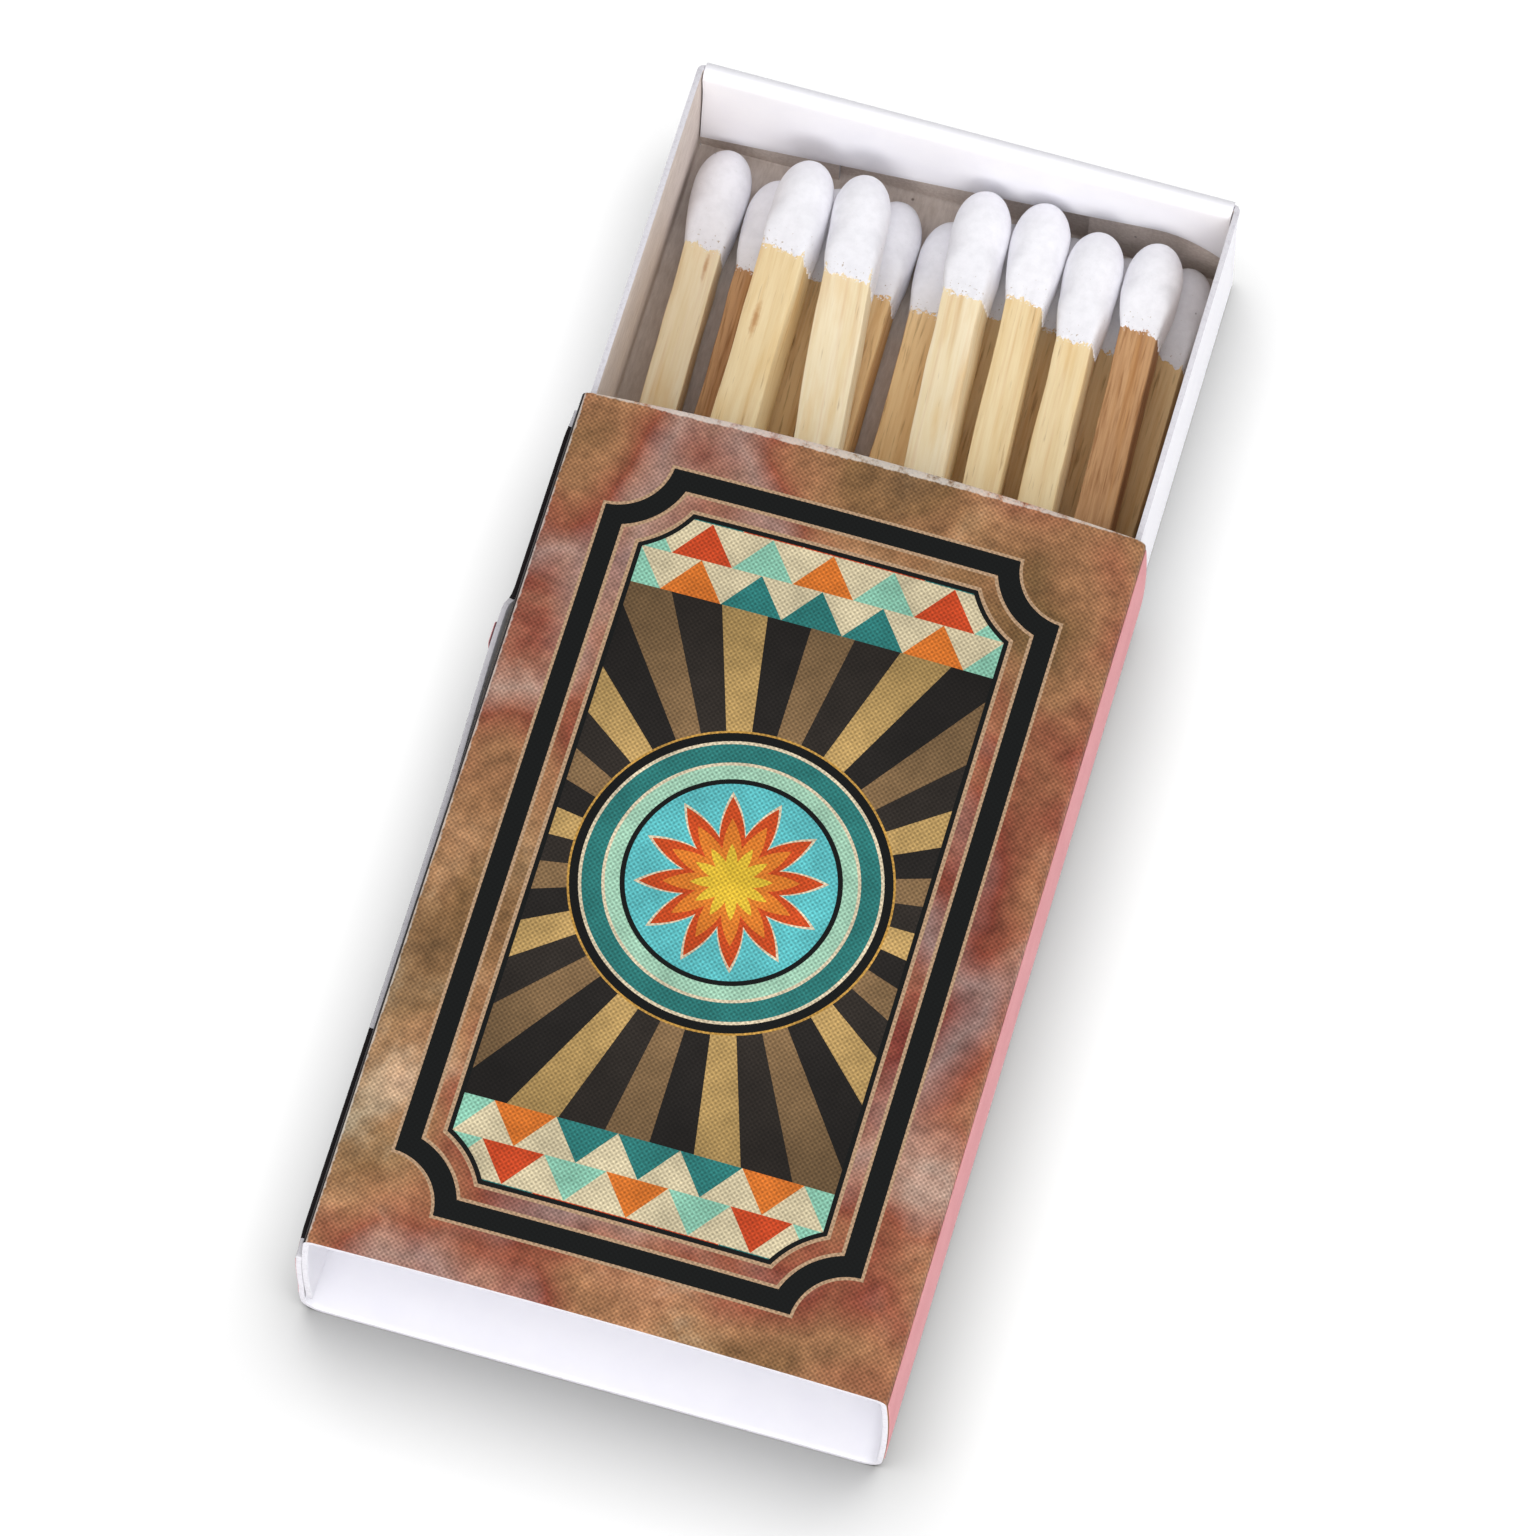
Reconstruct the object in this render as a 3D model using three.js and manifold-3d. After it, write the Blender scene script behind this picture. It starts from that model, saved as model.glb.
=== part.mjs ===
// A card matchbox: a printed sleeve with a striking strip on each side, and a folded card
// tray of wooden matches that slides through it.
// Millimetres, +Z up, +X across the box, +Y along it towards the end where the tray stands open.
// The origin is the middle of the sleeve's base.
import * as THREE from 'three';
import * as BufferGeometryUtils from 'three/addons/utils/BufferGeometryUtils.js';
import Module from 'manifold-3d';

// Sleeve: one strip of printed board wrapped round and closed by a glued lap on its left side.
const SLEEVE_LENGTH = 58;
const COVER_WIDTH = 36;
const SLEEVE_HEIGHT = 12;
const SLEEVE_CARD = 0.36;
const UPPER_CREASE_RADIUS = 0.45;
const LOWER_CREASE_RADIUS = 1.2;
const SIDE_BOW = 0.2;
const SIDE_STEPS = 8;
const CREASE_STEPS = 5;
const GLUE_FLAP_HEIGHT = 8;
const LAP_EDGE_DROP = 1.9;
const GLUE_FILM = 0.08;
const GLUE_MARGIN = 0.6;
const LAYER_GAP = 0.05;

// Striking strips on the two sides.
const STRIKER_COAT = 0.14;
const STRIKER_EDGE_MARGIN = 0.2;
const STRIKER_LAP_MARGIN = 1.1;

// Tray: one folded blank with doubled ends.
const TRAY_CARD = 0.36;
const TRAY_CREASE_RADIUS = 0.4;
const TRAY_END_RECESS = 0.2;
const TRAY_PULL = 24.8;
const SLIDE_GAP_SIDE = 0.12;
const SLIDE_GAP_BELOW = 0.15;
const SLIDE_GAP_ABOVE = 0.5;
const TAB_LENGTH = 9;
const TAB_GAP = 0.1;
const FLAP_SIDE_GAP = 0.35;
const FLAP_DROP_LONG = 8.4;
const FLAP_DROP_SHORT = 3.9;
const FLAP_CORNER_LENGTH = 4.6;
const FLAP_CORNER_DROP = 2.6;
const FOLD_STEPS = 8;
const BOTTOM_TONGUE = 3;

// Matches.
const MATCH_END_ROOM = 4.8;
const STICK_SIDE = 2.6;
const STICK_ARRIS = 0.25;
const HEAD_WIDTH = 3.7;
const HEAD_LENGTH = 7.2;
const HEAD_TIP_LENGTH = 2.7;
const HEAD_COAT = 0.3;
const HEAD_SIDES = 16;
const HEAD_TIP_STEPS = 5;
const HEAD_BODY_STEPS = 3;
const HEAD_SQUARENESS = 5;
const HEAD_CORNER_SHARE = 1.14;
const SOCKET_DEPTH = 1.8;
const SOCKET_GAP = 0.06;
const HEAD_GAP = 0.06;
const SEAT_GAP = 0.1;
const TIP_GAP = 0.3;

// Each match lies in the lower layer, packed from the right wall, or in a groove of that layer.
// side is the stick's thickness against the usual one, back is how far its tip lies behind the
// foremost place, and drift is how far its tail lies to the right of its head, in head widths.
const LOWER_MATCHES = [
  { side: 0.94, back: 0.08, drift: 0.43 },
  { side: 1.0, back: 0.38, drift: 0.35 },
  { side: 1.05, back: 0.24, drift: 0.3 },
  { side: 0.98, back: 0.19, drift: 0.22 },
  { side: 1.04, back: 0.3, drift: 0.35 },
  { side: 1.0, back: 0.03, drift: 0.3 },
  { side: 0.96, back: 0.0, drift: 0.22 },
  { side: 1.02, back: 0.11, drift: 0.14 },
  { side: 1.08, back: 0.0, drift: 0.05 },
];
const UPPER_MATCHES = [
  { groove: 1, side: 1.12, back: 0.38, drift: 0.3 },
  { groove: 2, side: 1.16, back: 0.4, drift: 1.4 },
  { groove: 4, side: 1.0, back: 0.1, drift: 0.97 },
  { groove: 5, side: 0.92, back: 0.03, drift: 0.78 },
  { groove: 6, side: 0.9, back: 0.3, drift: 0.73 },
  { groove: 7, side: 0.94, back: 0.22, drift: 0.65 },
];

// Values worked out from the sizes above.
const coverMiddle = SLEEVE_HEIGHT - SLEEVE_CARD / 2;
const baseMiddle = SLEEVE_CARD / 2;
const sideTop = coverMiddle - UPPER_CREASE_RADIUS;
const sideBottom = baseMiddle + LOWER_CREASE_RADIUS;
const sideMiddle = COVER_WIDTH / 2 - SLEEVE_CARD / 2;
const lapMiddle = sideMiddle + SLEEVE_CARD + GLUE_FILM + 2 * LAYER_GAP;
const lapEdge = sideTop - LAP_EDGE_DROP;
const trayWidth = COVER_WIDTH - 2 * SLEEVE_CARD - 2 * SLIDE_GAP_SIDE;
const trayInnerWidth = trayWidth - 2 * TRAY_CARD;
const trayLength = SLEEVE_LENGTH - 2 * TRAY_END_RECESS;
const trayBottom = SLEEVE_CARD + SLIDE_GAP_BELOW;
const trayFloor = trayBottom + TRAY_CARD;
const trayRim = SLEEVE_HEIGHT - SLEEVE_CARD - SLIDE_GAP_ABOVE;
const tabSlot = TRAY_CARD + 2 * TAB_GAP;
const endStack = 2 * TRAY_CARD + tabSlot;
const foldRadius = (TRAY_CARD + tabSlot) / 2;
const foldTop = trayRim - TRAY_CARD / 2 - foldRadius;
const tipLimit = trayLength / 2 - endStack - TIP_GAP;
const matchLength = trayLength - 2 * endStack - MATCH_END_ROOM;
const headSeat = matchLength - HEAD_TIP_LENGTH;
const headBody = HEAD_LENGTH - HEAD_TIP_LENGTH;

const X = new THREE.Vector3(1, 0, 0);
const Y = new THREE.Vector3(0, 1, 0);
const Z = new THREE.Vector3(0, 0, 1);

const FINISH = {
  print: { color: 0x9c6a4f, roughness: 0.5, metalness: 0 },
  striker: { color: 0xd98f94, roughness: 0.95, metalness: 0 },
  glue: { color: 0xe6ddc2, roughness: 0.4, metalness: 0 },
  board: { color: 0xe9e8ee, roughness: 0.8, metalness: 0 },
  stick: { color: 0xe2c48f, roughness: 0.8, metalness: 0 },
  head: { color: 0xf3f1f4, roughness: 0.9, metalness: 0 },
};

const wasm = await Module();
wasm.setup();

/** Turns a closed three.js geometry into a solid that can be joined and cut. */
function toSolid(geometry) {
  const bare = geometry.clone();
  bare.deleteAttribute('normal');
  bare.deleteAttribute('uv');
  const merged = BufferGeometryUtils.mergeVertices(bare, 1e-5);
  const vertProperties = new Float32Array(merged.attributes.position.array);
  const triVerts = new Uint32Array(merged.index.array);
  return new wasm.Manifold(new wasm.Mesh({ numProp: 3, vertProperties, triVerts }));
}

/** Turns a solid back into a three.js geometry. */
function toGeometry(solid) {
  const mesh = solid.getMesh();
  const geometry = new THREE.BufferGeometry();
  geometry.setAttribute('position', new THREE.BufferAttribute(new Float32Array(mesh.vertProperties), 3));
  geometry.setIndex(new THREE.BufferAttribute(new Uint32Array(mesh.triVerts), 1));
  geometry.computeVertexNormals();
  return geometry;
}

/** Joins several closed geometries into one. */
function join(...geometries) {
  const solids = geometries.map(toSolid);
  return toGeometry(solids.reduce((sum, solid) => sum.add(solid)));
}

function named(name, geometry, finish) {
  const mesh = new THREE.Mesh(geometry, new THREE.MeshStandardMaterial(finish));
  mesh.name = name;
  return mesh;
}

/** The closed outline of a strip of board of one thickness along a middle line. */
function stripOutline(line, thickness) {
  const normals = line.map((_, i) => {
    const before = line[Math.max(i - 1, 0)];
    const after = line[Math.min(i + 1, line.length - 1)];
    const along = after.clone().sub(before).normalize();
    return new THREE.Vector2(-along.y, along.x);
  });
  const left = line.map((point, i) => point.clone().addScaledVector(normals[i], thickness / 2));
  const right = line.map((point, i) => point.clone().addScaledVector(normals[i], -thickness / 2));
  return new THREE.Shape([...left, ...right.reverse()]);
}

/** A prism along Y of an outline drawn in X and Z, from one end to the other. */
function prismAlongY(shape, start, end) {
  const geometry = new THREE.ExtrudeGeometry(shape, { depth: end - start, bevelEnabled: false });
  geometry.applyMatrix4(new THREE.Matrix4().makeBasis(X, Z, Y.clone().negate()));
  return geometry.translate(0, end, 0);
}

/** A prism along X, centred, of an outline drawn in Y and Z. */
function prismAlongX(shape, width) {
  const geometry = new THREE.ExtrudeGeometry(shape, { depth: width, bevelEnabled: false });
  geometry.applyMatrix4(new THREE.Matrix4().makeBasis(Y, Z, X));
  return geometry.translate(-width / 2, 0, 0);
}

function box(low, high) {
  const size = high.clone().sub(low);
  const middle = low.clone().add(high).multiplyScalar(0.5);
  return new THREE.BoxGeometry(size.x, size.y, size.z).translate(middle.x, middle.y, middle.z);
}

/** Points of an arc about a centre, angles in quarter turns. */
function arc(centre, radius, from, to, steps) {
  const points = [];
  for (let i = 0; i <= steps; i += 1) {
    const angle = (from + ((to - from) * i) / steps) * (Math.PI / 2);
    points.push(new THREE.Vector2(
      centre.x + radius * Math.cos(angle),
      centre.y + radius * Math.sin(angle),
    ));
  }
  return points;
}

/** How far a side panel stands out at a height, nothing at its two creases. */
function bow(z) {
  const middle = (sideTop + sideBottom) / 2;
  const half = (sideTop - sideBottom) / 2;
  return SIDE_BOW * (1 - ((z - middle) / half) ** 2);
}

/** The middle line of a layer on one side of the sleeve, between two heights. */
function sideLine(direction, distance, from, to) {
  const points = [];
  for (let i = 0; i <= SIDE_STEPS; i += 1) {
    const z = from + ((to - from) * i) / SIDE_STEPS;
    points.push(new THREE.Vector2(direction * (distance + bow(z)), z));
  }
  return points;
}

function makeSleeve() {
  const upper = sideMiddle - UPPER_CREASE_RADIUS;
  const lowerRight = new THREE.Vector2(sideMiddle - LOWER_CREASE_RADIUS, sideBottom);
  const lowerLeft = new THREE.Vector2(LOWER_CREASE_RADIUS - lapMiddle, sideBottom);
  const upperRight = new THREE.Vector2(upper, sideTop);
  const upperLeft = new THREE.Vector2(-upper, sideTop);
  const line = [
    ...sideLine(-1, sideMiddle, sideTop - GLUE_FLAP_HEIGHT, sideTop).slice(0, -1),
    ...arc(upperLeft, UPPER_CREASE_RADIUS, 2, 1, CREASE_STEPS),
    ...arc(upperRight, UPPER_CREASE_RADIUS, 1, 0, CREASE_STEPS),
    ...sideLine(1, sideMiddle, sideTop, sideBottom).slice(1, -1),
    ...arc(lowerRight, LOWER_CREASE_RADIUS, 0, -1, CREASE_STEPS),
    ...arc(lowerLeft, LOWER_CREASE_RADIUS, -1, -2, CREASE_STEPS),
    ...sideLine(-1, lapMiddle, sideBottom, lapEdge).slice(1),
  ];
  const wrap = prismAlongY(stripOutline(line, SLEEVE_CARD), -SLEEVE_LENGTH / 2, SLEEVE_LENGTH / 2);
  return named('sleeve', wrap, FINISH.print);
}

/** A thin layer that follows one side of the sleeve. */
function makeSideLayer(name, direction, distance, thickness, from, to, margin, finish) {
  const outline = stripOutline(sideLine(direction, distance, from, to), thickness);
  const end = SLEEVE_LENGTH / 2 - margin;
  return named(name, prismAlongY(outline, -end, end), finish);
}

function makeGlueSeam() {
  const distance = sideMiddle + SLEEVE_CARD / 2 + LAYER_GAP + GLUE_FILM / 2;
  const from = sideTop - GLUE_FLAP_HEIGHT + GLUE_MARGIN;
  const to = lapEdge - GLUE_MARGIN;
  return makeSideLayer('sleeve_glue_seam', -1, distance, GLUE_FILM, from, to, GLUE_MARGIN, FINISH.glue);
}

function makeStriker(name, direction, boardMiddle, to) {
  const distance = boardMiddle + SLEEVE_CARD / 2 + LAYER_GAP + STRIKER_COAT / 2;
  const from = sideBottom + STRIKER_EDGE_MARGIN;
  return makeSideLayer(name, direction, distance, STRIKER_COAT, from, to, 0, FINISH.striker);
}

/** The tray's floor and long walls, up to the ends' corner tabs. */
function trayChannel() {
  const wall = trayWidth / 2 - TRAY_CARD / 2;
  const floor = trayBottom + TRAY_CARD / 2;
  const creaseHeight = floor + TRAY_CREASE_RADIUS;
  const left = new THREE.Vector2(TRAY_CREASE_RADIUS - wall, creaseHeight);
  const right = new THREE.Vector2(wall - TRAY_CREASE_RADIUS, creaseHeight);
  const line = [
    new THREE.Vector2(-wall, trayRim),
    ...arc(left, TRAY_CREASE_RADIUS, 2, 3, CREASE_STEPS),
    ...arc(right, TRAY_CREASE_RADIUS, 3, 4, CREASE_STEPS),
    new THREE.Vector2(wall, trayRim),
  ];
  const end = trayLength / 2 - TRAY_CARD - TAB_GAP;
  return prismAlongY(stripOutline(line, TRAY_CARD), -end, end);
}

/** The end panel, with its crease from the floor and its fold over the top. */
function trayEndFold() {
  const panel = trayLength / 2 - TRAY_CARD / 2;
  const floor = trayBottom + TRAY_CARD / 2;
  const crease = new THREE.Vector2(panel - TRAY_CREASE_RADIUS, floor + TRAY_CREASE_RADIUS);
  const fold = new THREE.Vector2(panel - foldRadius, foldTop);
  const line = [
    new THREE.Vector2(panel - endStack - BOTTOM_TONGUE, floor),
    ...arc(crease, TRAY_CREASE_RADIUS, -1, 0, CREASE_STEPS),
    ...arc(fold, foldRadius, 0, 2, FOLD_STEPS),
    new THREE.Vector2(fold.x - foldRadius, foldTop - TRAY_CARD),
  ];
  return prismAlongX(stripOutline(line, TRAY_CARD), trayInnerWidth - 2 * FLAP_SIDE_GAP);
}

/** The full width of the end panel, below its fold. */
function trayEndPanel() {
  const outside = trayLength / 2;
  const low = new THREE.Vector3(-trayWidth / 2, outside - TRAY_CARD, trayFloor);
  const high = new THREE.Vector3(trayWidth / 2, outside, foldTop);
  return box(low, high);
}

/** The flap that the fold turns down inside the tray, its free edge slanted and turned down at one end. */
function trayEndFlap() {
  const half = trayInnerWidth / 2 - FLAP_SIDE_GAP;
  const longEdge = trayRim - FLAP_DROP_LONG;
  const shortEdge = trayRim - FLAP_DROP_SHORT;
  const slope = (shortEdge - longEdge) / (2 * half);
  const shape = new THREE.Shape();
  shape.moveTo(-half, foldTop);
  shape.lineTo(-half, longEdge);
  shape.lineTo(half - FLAP_CORNER_LENGTH, shortEdge - slope * FLAP_CORNER_LENGTH);
  shape.quadraticCurveTo(
    half - FLAP_CORNER_LENGTH / 2,
    shortEdge - (slope * FLAP_CORNER_LENGTH) / 2,
    half,
    shortEdge - FLAP_CORNER_DROP,
  );
  shape.lineTo(half, foldTop);
  shape.closePath();
  const inside = trayLength / 2 - endStack;
  return prismAlongY(shape, inside, inside + TRAY_CARD);
}

/** A corner tab, turned in from a long wall behind the end panel. */
function trayTab(direction) {
  const outside = trayLength / 2 - TRAY_CARD - TAB_GAP;
  const wall = direction * (trayWidth / 2 - TRAY_CARD / 2);
  const tip = direction * (trayInnerWidth / 2 - TAB_LENGTH);
  const low = new THREE.Vector3(Math.min(wall, tip), outside - TRAY_CARD, trayFloor + TAB_GAP);
  const high = new THREE.Vector3(Math.max(wall, tip), outside, foldTop - TAB_GAP);
  return box(low, high);
}

function makeTray() {
  const end = [trayEndFold(), trayEndPanel(), trayEndFlap(), trayTab(-1), trayTab(1)];
  const otherEnd = end.map((geometry) => geometry.clone().rotateZ(Math.PI));
  return named('tray', join(trayChannel(), ...end, ...otherEnd), FINISH.board);
}

/** A match stick along Y, from its tail at the origin, with its arrises taken off. */
function stickShape(side, gap) {
  const half = side / 2 + gap;
  const flat = half - STICK_ARRIS;
  return new THREE.Shape([
    new THREE.Vector2(-flat, -half),
    new THREE.Vector2(flat, -half),
    new THREE.Vector2(half, -flat),
    new THREE.Vector2(half, flat),
    new THREE.Vector2(flat, half),
    new THREE.Vector2(-flat, half),
    new THREE.Vector2(-half, flat),
    new THREE.Vector2(-half, -flat),
  ]);
}

/** A dipped head: square round the stick at its skirt and round at its tip, with a socket. */
function headGeometry(side) {
  const skirt = side / 2 + HEAD_COAT;
  const profile = [new THREE.Vector2(0, 0)];
  for (let i = 0; i <= HEAD_BODY_STEPS; i += 1) {
    const share = Math.sin(((i / HEAD_BODY_STEPS) * Math.PI) / 2);
    const radius = skirt + (HEAD_WIDTH / 2 - skirt) * share;
    profile.push(new THREE.Vector2(radius, (headBody * i) / HEAD_BODY_STEPS));
  }
  for (let i = 1; i <= HEAD_TIP_STEPS; i += 1) {
    const angle = ((i / HEAD_TIP_STEPS) * Math.PI) / 2;
    const radius = i === HEAD_TIP_STEPS ? 0 : (HEAD_WIDTH / 2) * Math.cos(angle);
    profile.push(new THREE.Vector2(radius, headBody + HEAD_TIP_LENGTH * Math.sin(angle)));
  }
  const egg = new THREE.LatheGeometry(profile, HEAD_SIDES);
  const position = egg.attributes.position;
  for (let i = 0; i < position.count; i += 1) {
    const x = position.getX(i);
    const z = position.getZ(i);
    const radius = Math.hypot(x, z);
    const roundness = THREE.MathUtils.smoothstep(position.getY(i), SOCKET_DEPTH, headBody);
    const power = THREE.MathUtils.lerp(HEAD_SQUARENESS, 2, roundness);
    if (radius > 0) {
      const spread = (Math.abs(x / radius) ** power + Math.abs(z / radius) ** power) ** (1 / power);
      position.setX(i, x / spread);
      position.setZ(i, z / spread);
    }
  }
  const socket = prismAlongY(stickShape(side, SOCKET_GAP), -HEAD_COAT, SOCKET_DEPTH + SOCKET_GAP);
  return toGeometry(toSolid(egg).subtract(toSolid(socket)));
}

/** Half the width of a head across its flats. */
function headHalf(side) {
  return Math.max(HEAD_WIDTH / 2, side / 2 + HEAD_COAT);
}

/** How far a head reaches towards a neighbour that lies across its corner. */
function headReach(side) {
  return headHalf(side) * HEAD_CORNER_SHARE;
}

/** Places in a row, kept apart by the pieces' half widths and inside the walls. */
function spread(wanted, halves, gap) {
  const limit = trayInnerWidth / 2 - gap;
  const places = [...wanted];
  for (let i = 0; i < places.length; i += 1) {
    const lowest = i === 0 ? halves[i] - limit : places[i - 1] + halves[i - 1] + halves[i] + gap;
    places[i] = Math.max(places[i], lowest);
  }
  for (let i = places.length - 1; i >= 0; i -= 1) {
    const last = i === places.length - 1;
    const highest = last ? limit - halves[i] : places[i + 1] - halves[i + 1] - halves[i] - gap;
    places[i] = Math.min(places[i], highest);
  }
  return places;
}

/** How far across the tray a match lies, at a distance behind the widest part of its head. */
function acrossAt(match, behind) {
  return THREE.MathUtils.lerp(match.headX, match.tailX, behind / headSeat);
}

/** How high a match's head lies where it rests on the head and the stick of one below it. */
function restHeight(match, below) {
  const reach = headReach(match.side) + headReach(below.side) + HEAD_GAP;
  const heights = [0, headBody].map((behind) => {
    const across = acrossAt(match, behind) - acrossAt(below, behind);
    return Math.sqrt(Math.max(0, reach ** 2 - across ** 2));
  });
  const overStick = (below.side + match.side) / 2 + SEAT_GAP;
  return below.headZ + Math.max(...heights, overStick);
}

/** Where every match lies in the tray: the middle of its head and of its tail. */
function layMatches() {
  const pitch = HEAD_WIDTH + HEAD_GAP;
  const count = Math.min(LOWER_MATCHES.length, Math.floor((trayInnerWidth - HEAD_GAP) / pitch));
  const lower = LOWER_MATCHES.slice(0, count).map((match) => ({ ...match, side: match.side * STICK_SIDE }));
  const upper = UPPER_MATCHES.filter((match) => match.groove < count - 1)
    .map((match) => ({ ...match, side: match.side * STICK_SIDE }));

  const rightmost = trayInnerWidth / 2 - HEAD_GAP - HEAD_WIDTH / 2;
  lower.forEach((match, i) => {
    match.headX = rightmost - (count - 1 - i) * pitch;
    match.headZ = trayFloor + SEAT_GAP + headHalf(match.side);
    match.tailZ = trayFloor + SEAT_GAP + match.side / 2;
  });
  const lowerTails = lower.map((match) => match.headX + match.drift * HEAD_WIDTH);
  const lowerHalves = lower.map((match) => match.side / 2);
  spread(lowerTails, lowerHalves, SEAT_GAP).forEach((x, i) => {
    lower[i].tailX = x;
  });

  const grooves = upper.map((match) => (lower[match.groove].headX + lower[match.groove + 1].headX) / 2);
  const upperHalves = upper.map((match) => match.side / 2);
  const upperHeads = upper.map((match) => headHalf(match.side));
  spread(grooves, upperHeads, HEAD_GAP).forEach((x, i) => {
    upper[i].headX = x;
  });
  const upperTails = upper.map((match) => match.headX + match.drift * HEAD_WIDTH);
  spread(upperTails, upperHalves, SEAT_GAP).forEach((x, i) => {
    upper[i].tailX = x;
  });

  const thickest = Math.max(...lower.map((match) => match.side));
  upper.forEach((match) => {
    match.headZ = Math.max(...lower.map((below) => restHeight(match, below)));
    match.tailZ = trayFloor + 2 * SEAT_GAP + thickest + match.side / 2;
  });
  return [...lower, ...upper];
}

/** One match, its tail at the origin and its stick along Y, turned and moved to where it lies. */
function makeMatch(match, number) {
  const name = `match_${String(number).padStart(2, '0')}`;
  const stickLength = matchLength - HEAD_LENGTH + SOCKET_DEPTH;
  const stick = prismAlongY(stickShape(match.side, 0), 0, stickLength);
  const head = headGeometry(match.side).translate(0, matchLength - HEAD_LENGTH, 0);
  const group = new THREE.Group();
  group.add(named(`${name}_stick`, stick, FINISH.stick));
  group.add(named(`${name}_head`, head, FINISH.head));

  const across = match.tailX - match.headX;
  const rise = match.headZ - match.tailZ;
  const forward = Math.sqrt(headSeat ** 2 - across ** 2 - rise ** 2);
  const reach = (forward * matchLength) / headSeat;
  const direction = new THREE.Vector3(-across, forward, rise).normalize();
  group.quaternion.setFromUnitVectors(Y, direction);
  group.position.set(match.tailX, tipLimit - match.back * HEAD_WIDTH - reach, match.tailZ);
  return group;
}

const matchbox = new THREE.Group();
matchbox.add(makeSleeve());
matchbox.add(makeGlueSeam());
matchbox.add(makeStriker('striker_right', 1, sideMiddle, sideTop - STRIKER_EDGE_MARGIN));
matchbox.add(makeStriker('striker_left', -1, lapMiddle, lapEdge - STRIKER_LAP_MARGIN));

const drawer = new THREE.Group();
drawer.add(makeTray());
layMatches().forEach((match, i) => drawer.add(makeMatch(match, i + 1)));
drawer.position.y = TRAY_PULL;
matchbox.add(drawer);

export default matchbox;
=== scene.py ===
"""Looks of a card matchbox: a printed sleeve, a folded tray half open, and fifteen matches.

Lengths are written in millimetres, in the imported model's frame, and become metres at the end
of each piece. +X is across the box, +Y along it towards the open end of the tray, +Z up.
"""

import logging
import math
from dataclasses import dataclass
from enum import Enum

import bmesh
import bpy
from mathutils import Euler
from mathutils import Matrix
from mathutils import Vector
from mathutils import noise

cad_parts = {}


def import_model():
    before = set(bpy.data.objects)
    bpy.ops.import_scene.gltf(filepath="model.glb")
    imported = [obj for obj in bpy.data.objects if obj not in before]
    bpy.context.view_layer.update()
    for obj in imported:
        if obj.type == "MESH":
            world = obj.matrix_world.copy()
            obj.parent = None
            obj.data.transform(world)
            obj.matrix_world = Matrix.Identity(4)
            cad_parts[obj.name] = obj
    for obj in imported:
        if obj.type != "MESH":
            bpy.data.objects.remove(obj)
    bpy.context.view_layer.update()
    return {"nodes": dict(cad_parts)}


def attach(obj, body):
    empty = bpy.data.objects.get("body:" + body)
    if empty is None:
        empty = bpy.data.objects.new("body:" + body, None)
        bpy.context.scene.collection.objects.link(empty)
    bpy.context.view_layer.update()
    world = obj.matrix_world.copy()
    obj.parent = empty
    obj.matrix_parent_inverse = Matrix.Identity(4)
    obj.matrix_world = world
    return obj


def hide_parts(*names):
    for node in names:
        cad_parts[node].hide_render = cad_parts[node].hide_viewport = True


MM = 0.001
# Edges turn sharp past these angles in degrees.
BOARD_SHARP = 38.0
WOOD_SHARP = 32.0
PASTE_SHARP = 60.0
# Cut edges of board turn past this angle, and are rounded.
BOARD_ARRIS = 50.0
log = logging.getLogger("matchbox")


def linear(colour: str, alpha: float = 1.0) -> tuple[float, float, float, float]:
    """Turns an sRGB hex colour into linear light.

    Args:
        colour: Hex value such as "#e8dcc0".
        alpha: Opacity that goes with it.

    Returns:
        Red, green, blue and alpha.
    """
    channels = []
    for start in (1, 3, 5):
        value = int(colour[start:start + 2], 16) / 255
        channels.append(value / 12.92 if value <= 0.04045 else ((value + 0.055) / 1.055) ** 2.4)
    return (*channels, alpha)


def smoothstep(low: float, high: float, value: float) -> float:
    """Rises smoothly from 0 at low to 1 at high."""
    share = min(max((value - low) / (high - low), 0.0), 1.0)
    return share * share * (3 - 2 * share)


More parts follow.
